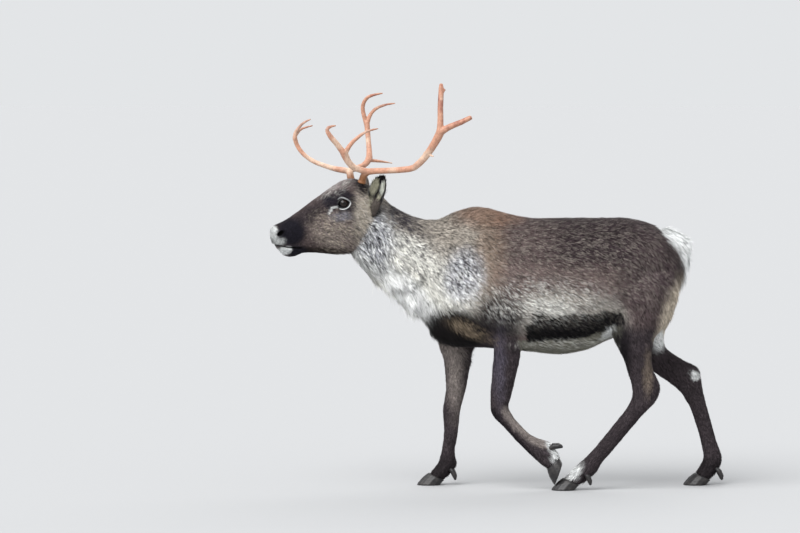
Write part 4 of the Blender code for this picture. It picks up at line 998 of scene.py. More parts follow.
@dataclass(frozen=True)
class HornFinish:
    """Hoof horn: black, with growth rings and worn paler edges.

    Args:
        ring: Width of the growth rings.
        patch: Size of the worn patches.
        depth: Height of the bump.
    """

    ring: float = 0.004
    patch: float = 0.018
    depth: float = 0.0008

    def build(self) -> bpy.types.Material:
        """Builds the shader.

        Returns:
            The material.
        """
        shader = Shader("hoof_horn")
        rings = shader.noise(self.ring, 2.0, (0.25, 0.25, 1.0))
        wear = shader.noise(self.patch, 4.0)
        ramp = {"stops": ((0.45, Tint.HORN.linear()), (0.8, Tint.HORN_PALE.linear()))}
        colour = shader.node("ShaderNodeValToRGB", ramp, {0: wear * 0.6 + rings * 0.4})
        return shader.finish(
            base_color=colour, roughness=wear * 0.3 + 0.3, specular_ior_level=0.5,
            normal=shader.bump(rings, self.depth))


@dataclass(frozen=True)
class EyeFinish:
    """A dark wet eye with a brown iris.

    Args:
        fibre: Width of the iris's fibres.
    """

    fibre: float = 0.0012

    def build(self) -> bpy.types.Material:
        """Builds the shader.

        Returns:
            The material.
        """
        shader = Shader("eye")
        colour = shader.shaded(shader.tint(), shader.noise(self.fibre, 3.0), (0.3, 0.7), (0.7, 1.2))
        return shader.finish(
            base_color=colour, roughness=0.10, specular_ior_level=0.1, coat_weight=0.42, coat_roughness=0.03)


@dataclass(frozen=True)
class LidFinish:
    """Eyelid skin with very short hair.

    Args:
        grain: Size of its grain.
        depth: Height of the bump.
    """

    grain: float = 0.0011
    depth: float = 0.0006

    def build(self) -> bpy.types.Material:
        """Builds the shader.

        Returns:
            The material.
        """
        shader = Shader("lid")
        grain = shader.noise(self.grain, 2.0)
        return shader.finish(
            base_color=shader.tint(), roughness=grain * 0.3 + 0.4, specular_ior_level=0.4,
            normal=shader.bump(grain, self.depth))


def new_object(name: str, mesh: bpy.types.Mesh) -> bpy.types.Object:
    """Links an object into the scene.

    Args:
        name: Its name.
        mesh: Its mesh.

    Returns:
        The object.
    """
    item = bpy.data.objects.new(name, mesh)
    bpy.context.scene.collection.objects.link(item)
    return item


def settled(item: bpy.types.Object) -> bpy.types.Object:
    """Applies an object's modifiers to its mesh.

    Args:
        item: The object.

    Returns:
        The same object.
    """
    bpy.context.view_layer.update()
    graph = bpy.context.evaluated_depsgraph_get()
    mesh = bpy.data.meshes.new_from_object(item.evaluated_get(graph))
    item.modifiers.clear()
    item.data = mesh
    return item


def stored(mesh: bmesh.types.BMesh, name: str) -> bpy.types.Mesh:
    """Turns a mesh under construction into mesh data.

    Args:
        mesh: The construction, which is freed.
        name: The data's name.

    Returns:
        The data.
    """
    data = bpy.data.meshes.new(name)
    mesh.to_mesh(data)
    mesh.free()
    return data


def joined_nodes(name: str, nodes: Sequence[str], swell: float) -> bpy.types.Object:
    """One object from merged copies of solids.

    Args:
        name: The object's name.
        nodes: The solids.
        swell: How far each is grown, so that neighbours cross their gap.

    Returns:
        The object.
    """
    mesh = bmesh.new()
    for node in nodes:
        part = bmesh.new()
        part.from_mesh(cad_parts[node].data)
        bmesh.ops.remove_doubles(part, verts=part.verts, dist=1e-6)
        part.normal_update()
        for vertex in part.verts:
            vertex.co += vertex.normal * swell
        loose = stored(part, "part")
        mesh.from_mesh(loose)
        bpy.data.meshes.remove(loose)
    data = stored(mesh, name)
    data.materials.clear()
    return new_object(name, data)


def remeshed(item: bpy.types.Object, voxel: float) -> bpy.types.Object:
    """Fuses an object into one even skin.

    Args:
        item: The object.
        voxel: Size of the skin's faces.

    Returns:
        The same object.
    """
    remesh = item.modifiers.new("fuse", "REMESH")
    remesh.mode = "VOXEL"
    remesh.voxel_size = voxel
    return settled(item)


def read_rows(items: Any, name: str, width: int = 3, kind: type = float) -> Points:
    """Reads one attribute of many items.

    Args:
        items: The items, such as a mesh's vertices.
        name: The attribute.
        width: How many numbers it has.
        kind: Type of the numbers.

    Returns:
        One row for each item.
    """
    flat = np.empty(len(items) * width, kind)
    items.foreach_get(name, flat)
    return flat.reshape(-1, width)


def write_rows(items: Any, name: str, rows: Points, kind: type = np.float32) -> None:
    """Gives one attribute of many items new values."""
    items.foreach_set(name, rows.astype(kind).ravel())


def corner_array(mesh: bpy.types.Mesh) -> Points:
    """Vertex places as rows."""
    return read_rows(mesh.vertices, "co")


def normal_array(mesh: bpy.types.Mesh) -> Points:
    """Vertex normals as rows."""
    return read_rows(mesh.vertex_normals, "vector")


def move_corners(mesh: bpy.types.Mesh, places: Points) -> None:
    """Gives a mesh's vertices new places."""
    write_rows(mesh.vertices, "co", places)
    mesh.update()


def relax(mesh: bpy.types.Mesh, steps: int, amount: Points | float = 1.0) -> None:
    """Smooths a mesh without shrinking it (a low-pass filter of two passes).

    Args:
        mesh: The mesh.
        steps: How many double passes.
        amount: How much of it each vertex takes.
    """
    one, two = read_rows(mesh.edges, "vertices", 2, np.int32).T
    count = len(mesh.vertices)
    degree = np.maximum(np.bincount(one, minlength=count) + np.bincount(two, minlength=count), 1)[:, None]
    places = corner_array(mesh)
    start = places.copy()
    for _ in range(steps):
        for factor in (0.55, -0.57):
            total = np.empty_like(places)
            for axis in range(3):
                total[:, axis] = (np.bincount(one, places[two, axis], count)
                                  + np.bincount(two, places[one, axis], count))
            places = places + factor * (total / degree - places)
    share = amount if isinstance(amount, float) else amount[:, None]
    move_corners(mesh, start + (places - start) * share)


def set_tint(mesh: bpy.types.Mesh, colours: Points) -> None:
    """Writes colours on a mesh's vertices."""
    layer = mesh.color_attributes.new(TINT_LAYER, "FLOAT_COLOR", "POINT")
    write_rows(layer.data, "color", np.column_stack((colours, np.ones(len(colours)))))


def unwrap(item: bpy.types.Object) -> None:
    """Unfolds a surface into the map that the coat's patches lie on.

    Args:
        item: The surface.
    """
    bpy.context.view_layer.objects.active = item
    item.select_set(True)
    item.data.uv_layers.new(name=COAT_UV)
    bpy.ops.object.mode_set(mode="EDIT")
    bpy.ops.mesh.select_all(action="SELECT")
    bpy.ops.uv.smart_project(angle_limit=math.radians(66), island_margin=0.002)
    bpy.ops.object.mode_set(mode="OBJECT")
    item.select_set(False)


def hand_over(item: bpy.types.Object, finish: bpy.types.Material, slot: str, *nodes: str) -> None:
    """Dresses a piece, sets it on the animal and hides the solids that it takes the place of.

    Args:
        item: The piece.
        finish: Its material.
        slot: Its finish slot; not used.
        nodes: The solids that it takes the place of.
    """
    item.data.materials.clear()
    item.data.materials.append(finish)
    item.data.shade_smooth()
    if nodes:
        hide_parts(*nodes)
    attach(item, BODY)
    LOG.info("%s: %d faces", item.name, len(item.data.polygons))


@dataclass
class Surface:
    """A triangulated skin that tufts grow on.

    Args:
        places: Vertex places.
        normals: Vertex normals.
        corners: Vertex numbers of each triangle.
        unfolded: Map places of each triangle's corners.
    """

    places: Points
    normals: Points
    corners: Points
    unfolded: Points

    @classmethod
    def of(cls, item: bpy.types.Object) -> "Surface":
        """Reads an object's mesh.

        Args:
            item: The object.

        Returns:
            Its surface.
        """
        mesh = item.data
        mesh.calc_loop_triangles()
        corners = read_rows(mesh.loop_triangles, "vertices", 3, np.int32)
        loops = read_rows(mesh.loop_triangles, "loops", 3, np.int32)
        unfolded = read_rows(mesh.uv_layers[COAT_UV].data, "uv", 2)[loops]
        return cls(corner_array(mesh), normal_array(mesh), corners, unfolded)

    def scatter(self, wanted: Callable[[Points], Points], rng: np.random.Generator) -> tuple[Points, ...]:
        """Draws roots over the surface.

        Args:
            wanted: Tufts to each square metre at places.
            rng: The random draw.

        Returns:
            Places, unit normals and map places of the roots.
        """
        spots = self.places[self.corners]
        area = np.linalg.norm(np.cross(spots[:, 1] - spots[:, 0], spots[:, 2] - spots[:, 0]), axis=1) / 2
        share = area * wanted(spots.mean(axis=1))
        count = rng.poisson(share)
        home = np.repeat(np.arange(len(share)), count)
        first, second = rng.random((2, len(home)))
        over = first + second > 1
        first = np.where(over, 1 - first, first)
        second = np.where(over, 1 - second, second)
        weights = np.column_stack((1 - first - second, first, second))[:, :, None]
        places = (spots[home] * weights).sum(axis=1)
        normals = unit((self.normals[self.corners][home] * weights).sum(axis=1))
        return places, normals, (self.unfolded[home] * weights).sum(axis=1)


@dataclass(frozen=True)
class TuftStyle:
    """How tufts are shaped and scattered.

    Args:
        joints: Lengths that a tuft bends in.
        cover: How many layers of tufts lie over each place.
        fan: Degrees that lies stray.
        sway: Sideways curve as a share of the length.
        root_shade: Brightness at the root, a painted shade of the tufts over it.
        tip_shade: Brightness at the tip.
        vary: Spread of lengths.
        grizzle: How much lighter and darker tufts stand beside each other.
    """

    joints: int = 2
    cover: float = 5.0
    fan: float = 9.0
    sway: float = 0.10
    root_shade: float = 0.60
    tip_shade: float = 1.06
    vary: float = 0.22
    grizzle: float = 1.1


class CoatGrower:
    """Grows tufts as joined blades on a surface."""

    # How deep the roots are, half-size of a tuft on the map, sizes of the coat's locks, wisps and flecks, and
    # the most triangles in a piece
    SUNK = 0.0015
    PATCH = 0.0015
    LOCK = 0.022
    WISP = 0.008
    FLECK = 0.0040
    MOST_TRIANGLES = 198_000

    def __init__(self, seed: int) -> None:
        """Seeds the draws and the locks."""
        self.rng = np.random.default_rng(seed)
        self.comb = Grain(seed + 100)

    def grow(self, name: str, surface: Surface, style: TuftStyle, keep: Callable[[Points], Points],
             growth_of: Callable[[Points], Growth], paint: Callable[[Points], Points]) -> list[bpy.types.Object]:
        """Grows a stretch of coat.

        Args:
            name: The pieces' name, numbered where there are several.
            surface: What it grows on.
            style: The tufts' shape.
            keep: The share of tufts wanted at places, 0 where there are none.
            growth_of: The lie and sizes at places.
            paint: The colours at places.

        Returns:
            The pieces.
        """
        def wanted(places: Points) -> Points:
            """Tufts to each square metre."""
            growth = growth_of(places)
            return style.cover * keep(places) / (growth.length * growth.width)

        roots, normals, spots = surface.scatter(wanted, self.rng)
        each = 2 * style.joints - 1
        pieces = max(math.ceil(len(roots) * each / self.MOST_TRIANGLES), 1)
        order = np.argsort(roots[:, 0], kind="stable")
        made = []
        for number, chosen in enumerate(np.array_split(order, pieces)):
            label = f"{name}_{number + 1}" if pieces > 1 else name
            mesh = self.blades(label, roots[chosen], normals[chosen], spots[chosen], style, growth_of, paint)
            made.append(new_object(label, mesh))
        return made

    def swing(self, count: int) -> Points:
        """Random values about 0, most of them within 1 and none beyond 2."""
        return self.rng.normal(size=count).clip(-2, 2)

    def blades(self, name: str, roots: Points, normals: Points, spots: Points, style: TuftStyle,
               growth_of: Callable[[Points], Growth], paint: Callable[[Points], Points]) -> bpy.types.Mesh:
        """Shapes a set of tufts.

        Args:
            name: The mesh's name.
            roots: Where they grow.
            normals: The surface's normals there.
            spots: The roots' places on the map.
            style: The tufts' shape.
            growth_of: The lie and sizes at places.
            paint: The colours at places.

        Returns:
            Their mesh.
        """
        count = len(roots)
        growth = growth_of(roots)
        comb = self.comb(roots, self.LOCK) + self.comb(roots + 5.0, self.WISP) - 1.0
        along = unit(growth.lie - normals * np.sum(growth.lie * normals, axis=1)[:, None])
        aside = np.cross(normals, along)
        stray = np.radians(style.fan) * (self.rng.normal(size=count) * 0.7 + comb * 2.2)
        along = along * np.cos(stray)[:, None] + aside * np.sin(stray)[:, None]
        aside = np.cross(normals, along)
        length = growth.length * (1 + style.vary * self.swing(count))
        half = growth.width / 2 * (1 + 0.2 * self.swing(count))
        depth = growth.depth * (0.55 + 0.45 * self.rng.random(count) + 0.3 * comb)
        sway = length * style.sway * self.swing(count)
        mottle = self.comb(roots + 9.0, self.FLECK) - 0.5
        light = 1 + 0.15 * self.swing(count) + 0.30 * comb + style.grizzle * mottle
        colours = paint(roots) * light[:, None]
        rows = []
        shades = []
        flat = []
        for joint in range(style.joints + 1):
            share = joint / style.joints
            rise = depth * (2 * share - share ** 2) - self.SUNK * (1 - share)
            middle = (roots + along * (length * share)[:, None] + normals * rise[:, None]
                      + aside * (sway * share ** 2)[:, None])
            # Painted shade: each tuft is darker toward its root, where the tufts over it shade it, and lighter at
            # its tip
            shade = style.root_shade + (style.tip_shade - style.root_shade) * share ** 0.7
            spread = (0.75 + 0.9 * share) * (1 - share ** 2)
            for offset in (0.0,) if joint == style.joints else (-1.0, 1.0):
                rows.append(middle + aside * (half * spread * offset)[:, None])
                shades.append(colours * shade)
                flat.append(spots + self.PATCH * np.array([offset * 0.9 * (1 - share), share * 2 - 1]))
        sides = len(rows)
        places = np.stack(rows, axis=1).reshape(-1, 3)
        tints = np.stack(shades, axis=1).reshape(-1, 3)
        patch = np.stack(flat, axis=1).reshape(-1, 2)
        pattern = []
        for joint in range(style.joints - 1):
            low = joint * 2
            pattern += [(low, low + 1, low + 3), (low, low + 3, low + 2)]
        last = (style.joints - 1) * 2
        pattern.append((last, last + 1, last + 2))
        triangles = (np.arange(count)[:, None, None] * sides + np.array(pattern)[None]).reshape(-1, 3)
        return self.mesh_of(name, places, triangles, np.clip(tints, 0, 1), patch)

    def mesh_of(self, name: str, places: Points, triangles: Points, tints: Points, patch: Points) -> bpy.types.Mesh:
        """Makes a mesh from arrays.

        Args:
            name: The mesh's name.
            places: Vertex places.
            triangles: Vertex numbers of each triangle.
            tints: Vertex colours.
            patch: Vertices' places on the map.

        Returns:
            The mesh.
        """
        mesh = bpy.data.meshes.new(name)
        mesh.vertices.add(len(places))
        write_rows(mesh.vertices, "co", places)
        mesh.loops.add(triangles.size)
        write_rows(mesh.loops, "vertex_index", triangles, np.int32)
        mesh.polygons.add(len(triangles))
        write_rows(mesh.polygons, "loop_start", np.arange(0, triangles.size, 3), np.int32)
        mesh.update(calc_edges=True)
        set_tint(mesh, tints)
        layer = mesh.uv_layers.new(name=COAT_UV)
        write_rows(layer.data, "uv", patch[triangles.ravel()])
        return mesh


@dataclass
class Paired:
    """Something that the animal has on both sides.

    Args:
        word: left or right.
    """

    word: str

    @property
    def side(self) -> float:
        """1 on the animal's left, -1 on its right."""
        return SIDES[self.word]


@dataclass
class Eye(Paired):
    """One eyeball and its lids.

    Args:
        opening: Half-length and half-height of the opening between the lids.
        spread: How far the lids reach, as a multiple of the opening.
        corner: How far the tear corner runs on ahead.
        slant: How far the opening falls for each length forward.
        iris: Radius of the iris.
        pupil: Half-length and half-height of the pupil.
        proud: How far the cornea stands out.
    """

    opening: tuple[float, float] = (0.0172, 0.0138)
    spread: float = 2.0
    corner: float = 0.0060
    slant: float = 0.20
    iris: float = 0.0125
    pupil: tuple[float, float] = (0.0068, 0.0042)
    proud: float = 0.0012

    # Faces round and across the lids, and how far these stand off the ball, tuck in behind their edge and lie
    # under the face
    TURNS = 84
    ROWS = 20
    CLEAR = 0.0006
    TUCK = 0.0050
    FLUSH = 0.0004

    @property
    def centre(self) -> Points:
        """The eyeball's middle in the head's directions."""
        return np.array([EYE_FORWARD, EYE_OUT * self.side, EYE_HEIGHT])

    def within(self, local: Points, inner: float, outer: float) -> Points:
        """Tells what lies inside the eye's outline.

        Args:
            local: Places in the head's directions.
            inner: The multiple of the outline where it starts to fade.
            outer: The multiple where it ends.

        Returns:
            1 inside, 0 outside.
        """
        forward = local[:, 0] - EYE_FORWARD
        up = local[:, 2] - EYE_HEIGHT
        up = up + forward * self.fall(up / (np.hypot(forward, up) + 1e-6))
        reach = np.hypot(forward / self.opening[0], up / self.opening[1])
        beside = local[:, 1] * self.side > 0.03
        return beside * (1 - smooth_step(reach, inner, outer))

    def build_ball(self, finish: bpy.types.Material) -> None:
        """Builds the eyeball, with its cornea.

        Args:
            finish: Its material.
        """
        mesh = bmesh.new()
        bmesh.ops.create_icosphere(mesh, subdivisions=5, radius=EYE_RADIUS)
        data = stored(mesh, "eyeball_" + self.word)
        local = corner_array(data)
        off_axis = np.hypot(local[:, 0], local[:, 2])
        facing = local[:, 1] * self.side > 0
        local[:, 1] += facing * self.proud * (1 - smooth_step(off_axis, 0.0, self.iris)) * self.side
        in_iris = facing * (1 - smooth_step(off_axis, self.iris * 0.9, self.iris * 1.05))
        reach = np.hypot(local[:, 0] / self.pupil[0], local[:, 2] / self.pupil[1])
        in_pupil = facing * (1 - smooth_step(reach, 0.85, 1.15))
        tints = Tint.WET_BLACK.spread(len(local))
        blend(tints, Tint.IRIS.linear(), in_iris)
        blend(tints, Tint.WET_BLACK.linear() * 0.4, in_pupil)
        move_corners(data, HEAD.world(local + self.centre))
        set_tint(data, tints)
        hand_over(new_object("eyeball_" + self.word, data), finish, "eye", "eye_" + self.word)

    def outline(self, turn: Points, reach: float) -> tuple[Points, Points]:
        """The almond outline, with its long tear corner.

        Args:
            turn: Angles round the eye's middle.
            reach: The outline's multiple.

        Returns:
            Forward and up from the eye's middle.
        """
        ahead = np.maximum(np.cos(turn), 0)
        behind = np.maximum(-np.cos(turn), 0)
        forward = np.cos(turn) * self.opening[0] * reach + self.corner * ahead ** 5
        up = np.sin(turn) * self.opening[1] * reach * (1 - 0.22 * ahead ** 4 - 0.12 * behind ** 6)
        return forward, up - forward * self.fall(np.sin(turn))

    def fall(self, rise: Points) -> Points:
        """The slant at a sine of the turn: the lower lid falls forward, and the upper one peaks ahead."""
        return self.slant * (1 - 2.5 * np.maximum(rise, 0))

    def build_lids(self, skin: BVHTree, finish: bpy.types.Material) -> None:
        """Builds the ring of lid skin from the eyeball out to the face.

        Args:
            skin: The face.
            finish: The lids' material.
        """
        angle = np.arange(self.TURNS) * 2 * math.pi / self.TURNS
        mesh = bmesh.new()
        edge = np.array([self.on_skin(skin, *spot) for spot in zip(*self.outline(angle, self.spread))])
        inner = self.level_ring(angle, 1.0) + self.CLEAR
        rows = []
        tints = []
        for row in range(-1, self.ROWS + 1):
            share = max(row, 0) / self.ROWS
            forward, up = self.outline(angle, 1 + (self.spread - 1) * share)
            level = inner + (edge - inner) * share ** 0.8 + self.relief(share, angle)
            if row < 0:
                level = inner - self.TUCK
            ring = np.column_stack((forward, level * self.side, up)) + self.centre
            rows.append([mesh.verts.new(point) for point in HEAD.world(ring)])
            tints.append(self.lid_tints(share, angle))
        for low, high in zip(rows, rows[1:]):
            for number in range(self.TURNS):
                after = (number + 1) % self.TURNS
                corners = (low[number], low[after], high[after], high[number])
                mesh.faces.new(corners if self.side > 0 else corners[::-1])
        data = stored(mesh, "eyelids_" + self.word)
        set_tint(data, np.vstack(tints))
        hand_over(new_object("eyelids_" + self.word, data), finish, "face_coat")

    def level_ring(self, angle: Points, reach: float) -> Points:
        """How far out the eyeball's surface is along an outline."""
        forward, up = self.outline(angle, reach)
        return np.sqrt(np.maximum(EYE_RADIUS ** 2 - forward ** 2 - up ** 2, 0.0050 ** 2))

    def relief(self, share: float, angle: Points) -> Points:
        """Thick rims, a crease over them and a pouch below.

        Args:
            share: Share of the way out.
            angle: Angles round the eye's middle.

        Returns:
            How far the lids stand off a plain ring.
        """
        upper = np.clip(np.sin(angle), 0, 1)
        lower = np.clip(-np.sin(angle), 0, 1)
        corner = np.clip(np.cos(angle), 0, 1) ** 6
        rim = (0.0026 + 0.0022 * upper) * hump(share, 0.12, 0.11) * (1 - 0.7 * corner)
        crease = 0.0016 * (0.4 + upper) * hump(share, 0.44, 0.09)
        fold = 0.0020 * (0.6 * lower + upper) * hump(share, 0.64, 0.12)
        return rim - crease + fold - 0.0016 * corner * hump(share, 0.5, 0.4)

    def lid_tints(self, share: float, angle: Points) -> Points:
        """Black rim, white ring and dark orbit.

        Args:
            share: Share of the way out.
            angle: Angles round the eye's middle.

        Returns:
            The colour at each angle.
        """
        ahead = np.clip(np.cos(angle), 0, 1)
        middle = 0.50 + 0.06 * np.cos(angle)
        white = hump(share, middle, 0.115) * (1 - smooth_step(ahead, 0.72, 0.97))
        white *= 0.50 + 0.50 * np.abs(np.sin(angle + 0.25))
        rim = 1 - smooth_step(share - 0.10 * ahead, 0.24, 0.36)
        tints = Tint.ORBIT.spread(len(angle))
        blend(tints, Tint.WHITE.linear() * 0.85, np.clip(white, 0, 1))
        blend(tints, Tint.WET_BLACK.linear(), rim)
        return tints

    def on_skin(self, skin: BVHTree, forward: float, up: float) -> float:
        """How far out the face lies beside the eye.

        Args:
            skin: The face.
            forward: Forward of the eye's middle.
            up: Above it.

        Returns:
            The distance from the eye's middle.
        """
        spot = self.centre + np.array([forward, 0.0, up])
        spot[1] = 0.12 * self.side
        inward = HEAD.direction(np.array([[0.0, -self.side, 0.0]]))[0]
        hit = skin.ray_cast(Vector(HEAD.world(spot[None])[0]), Vector(inward))[0]
        out = HEAD.local(np.array([hit]))[0, 1] * self.side
        return out - EYE_OUT - self.FLUSH


@dataclass
class Skin:
    """The one skin over trunk, neck, head, legs and tail.

    Args:
        voxel: Size of its even mesh before the head is refined.
        swell: How far the solids' copies are grown, so that they cross their gaps.
        kept: Share of the mesh that stays when the parts under the coat are thinned.
        sunk: Share of the coat's depth by which the skin is lowered.
        nostril: Depth of the nostrils, and how far their edges stand out.
        mouth: Depth of the mouth line, and how far the lips stand out.
        lip: How far the lips' fullest lines are from the mouth line.
        socket: Depth of the eye sockets.
    """

    voxel: float = 0.0058
    swell: float = 0.0005
    kept: float = 0.58
    sunk: float = 0.9
    nostril: tuple[float, float] = (0.013, 0.0022)
    mouth: tuple[float, float] = (0.0042, 0.0016)
    lip: float = 0.0065
    socket: float = 0.016
    item: bpy.types.Object = field(init=False)

    # Smoothing rounds for the forms, the places where the solids have locks, and the refined head
    FORM_ROUNDS = 60
    LOCK_ROUNDS = 150
    HEAD_ROUNDS = 14
    NODES = ("head", "neck", "torso", "tail") + tuple(
        f"{leg}_{part}" for leg in LEGS for part in ("upper", "cannon"))

    def build(self, finish: bpy.types.Material, eyes: Sequence[Eye]) -> None:
        """Fuses, smooths, refines and sculpts the skin, then paints it.

        Args:
            finish: Its material.
            eyes: The eyes that it has sockets for.
        """
        self.item = remeshed(joined_nodes("skin", self.NODES, self.swell), self.voxel)
        self.smooth_forms()
        self.refine(lambda local: (local[:, 0] > -0.01) & (local[:, 2] > 0.84))
        self.refine(lambda local: local[:, 0] > 0.268)
        self.smooth_head()
        self.sink()
        self.sculpt(eyes)
        self.thin()
        mesh = self.item.data
        unwrap(self.item)
        # The skin's markings are painted darker here, as painted shade under the coat
        set_tint(mesh, MARKINGS.paint(corner_array(mesh)) * UNDER_COAT_SHADE)
        hand_over(self.item, finish, "back_coat", *self.NODES)

    def smooth_forms(self) -> None:
        """Takes the solids' facets and the long coat's locks out of the skin."""
        mesh = self.item.data
        places = corner_array(mesh)
        local = HEAD.local(places)
        head = smooth_step(local[:, 0], -0.03, 0.03) * smooth_step(places[:, 2], 0.80, 0.86)
        legs = 1 - smooth_step(places[:, 2], 0.42, 0.56)
        relax(mesh, self.FORM_ROUNDS, 1 - 0.75 * head - 0.25 * legs * (1 - head))
        under = smooth_step(-places[:, 0], 0.20, 0.24) * smooth_step(local[:, 0], 0.03, -0.03)
        under = under * (1 - smooth_step(places[:, 2] + places[:, 0], 0.42, 0.50))
        tail = smooth_step(places[:, 0], 0.60, 0.66) * smooth_step(places[:, 2], 0.74, 0.78)
        tail = tail * (1 - smooth_step(np.abs(places[:, 1] - MIDDLE_Y), 0.05, 0.08))
        relax(mesh, self.LOCK_ROUNDS, np.clip(under + tail, 0, 1))

    def refine(self, chosen: Callable[[Points], Points]) -> None:
        """Cuts the faces of a part of the head into four.

        Args:
            chosen: Tells which places in the head's directions belong to it.
        """
        mesh = bmesh.new()
        mesh.from_mesh(self.item.data)
        places = HEAD.local(np.array([vertex.co for vertex in mesh.verts]))
        inside = chosen(places)
        edges = [edge for edge in mesh.edges if inside[edge.verts[0].index] and inside[edge.verts[1].index]]
        bmesh.ops.subdivide_edges(mesh, edges=edges, cuts=1, use_grid_fill=True)
        mesh.to_mesh(self.item.data)
        mesh.free()

    def smooth_head(self) -> None:
        """Rounds the refined head."""
        mesh = self.item.data
        local = HEAD.local(corner_array(mesh))
        head = smooth_step(local[:, 0], -0.04, 0.02) * smooth_step(local[:, 2], 0.80, 0.86)
        relax(mesh, self.HEAD_ROUNDS, head)

    def sink(self) -> None:
        """Lowers the skin by most of the coat's depth."""
        mesh = self.item.data
        places = corner_array(mesh)
        move_corners(mesh, places - normal_array(mesh) * (PLAN.at(places).depth * self.sunk)[:, None])

    def thin(self) -> None:
        """Thins the even mesh of trunk and legs, which the coat covers, and leaves the head's as it is."""
        places = corner_array(self.item.data)
        covered = np.flatnonzero((HEAD.local(places)[:, 0] < -0.03) | (places[:, 2] < 0.80))
        group = self.item.vertex_groups.new(name="covered")
        group.add(covered.tolist(), 1.0, "REPLACE")
        press = self.item.modifiers.new("thin", "DECIMATE")
        press.vertex_group = group.name
        press.ratio = self.kept
        settled(self.item)
        self.item.vertex_groups.clear()

    def sculpt(self, eyes: Sequence[Eye]) -> None:
        """Nostrils, lips, chin and eye sockets.

        Args:
            eyes: The eyes.
        """
        mesh = self.item.data
        local = HEAD.local(corner_array(mesh))
        inward = -np.sign(local[:, 1])
        sides = smooth_step(np.abs(local[:, 1]), 0.014, 0.026) * (local[:, 0] > 0.30)
        hollow = NOSTRIL.cover(local[:, 0], local[:, 2])
        rim = NOSTRIL_EDGE.cover(local[:, 0], local[:, 2]) * (1 - hollow) * sides
        local[:, 1] += inward * (hollow * sides * self.nostril[0] - rim * self.nostril[1])
        off = local[:, 2] - mouth_height(local[:, 0])
        ahead = smooth_step(local[:, 0], 0.278, 0.295)
        groove = hump(off, 0.0, 0.0022) * ahead
        lips = (hump(off, self.lip, 0.004) + hump(off, -self.lip, 0.004)) * ahead
        normals = HEAD.local(normal_array(mesh) + np.array([POLL_X, MIDDLE_Y, 0.0]))
        local += normals * (lips * self.mouth[1] - groove * self.mouth[0])[:, None]
        front = smooth_step(local[:, 0], 0.335, 0.395)
        local[:, 0] -= front * (0.005 * smooth_step(0.965 - local[:, 2], 0.0, 0.045)
                                + 0.006 * smooth_step(-off, -0.002, 0.006))
        for eye in eyes:
            local[:, 1] -= eye.side * self.socket * eye.within(local, 1.15, 1.75)
        move_corners(mesh, HEAD.world(local))

    def tree(self) -> BVHTree:
        """The skin as a tree for rays."""
        graph = bpy.context.evaluated_depsgraph_get()
        return BVHTree.FromObject(self.item, graph)


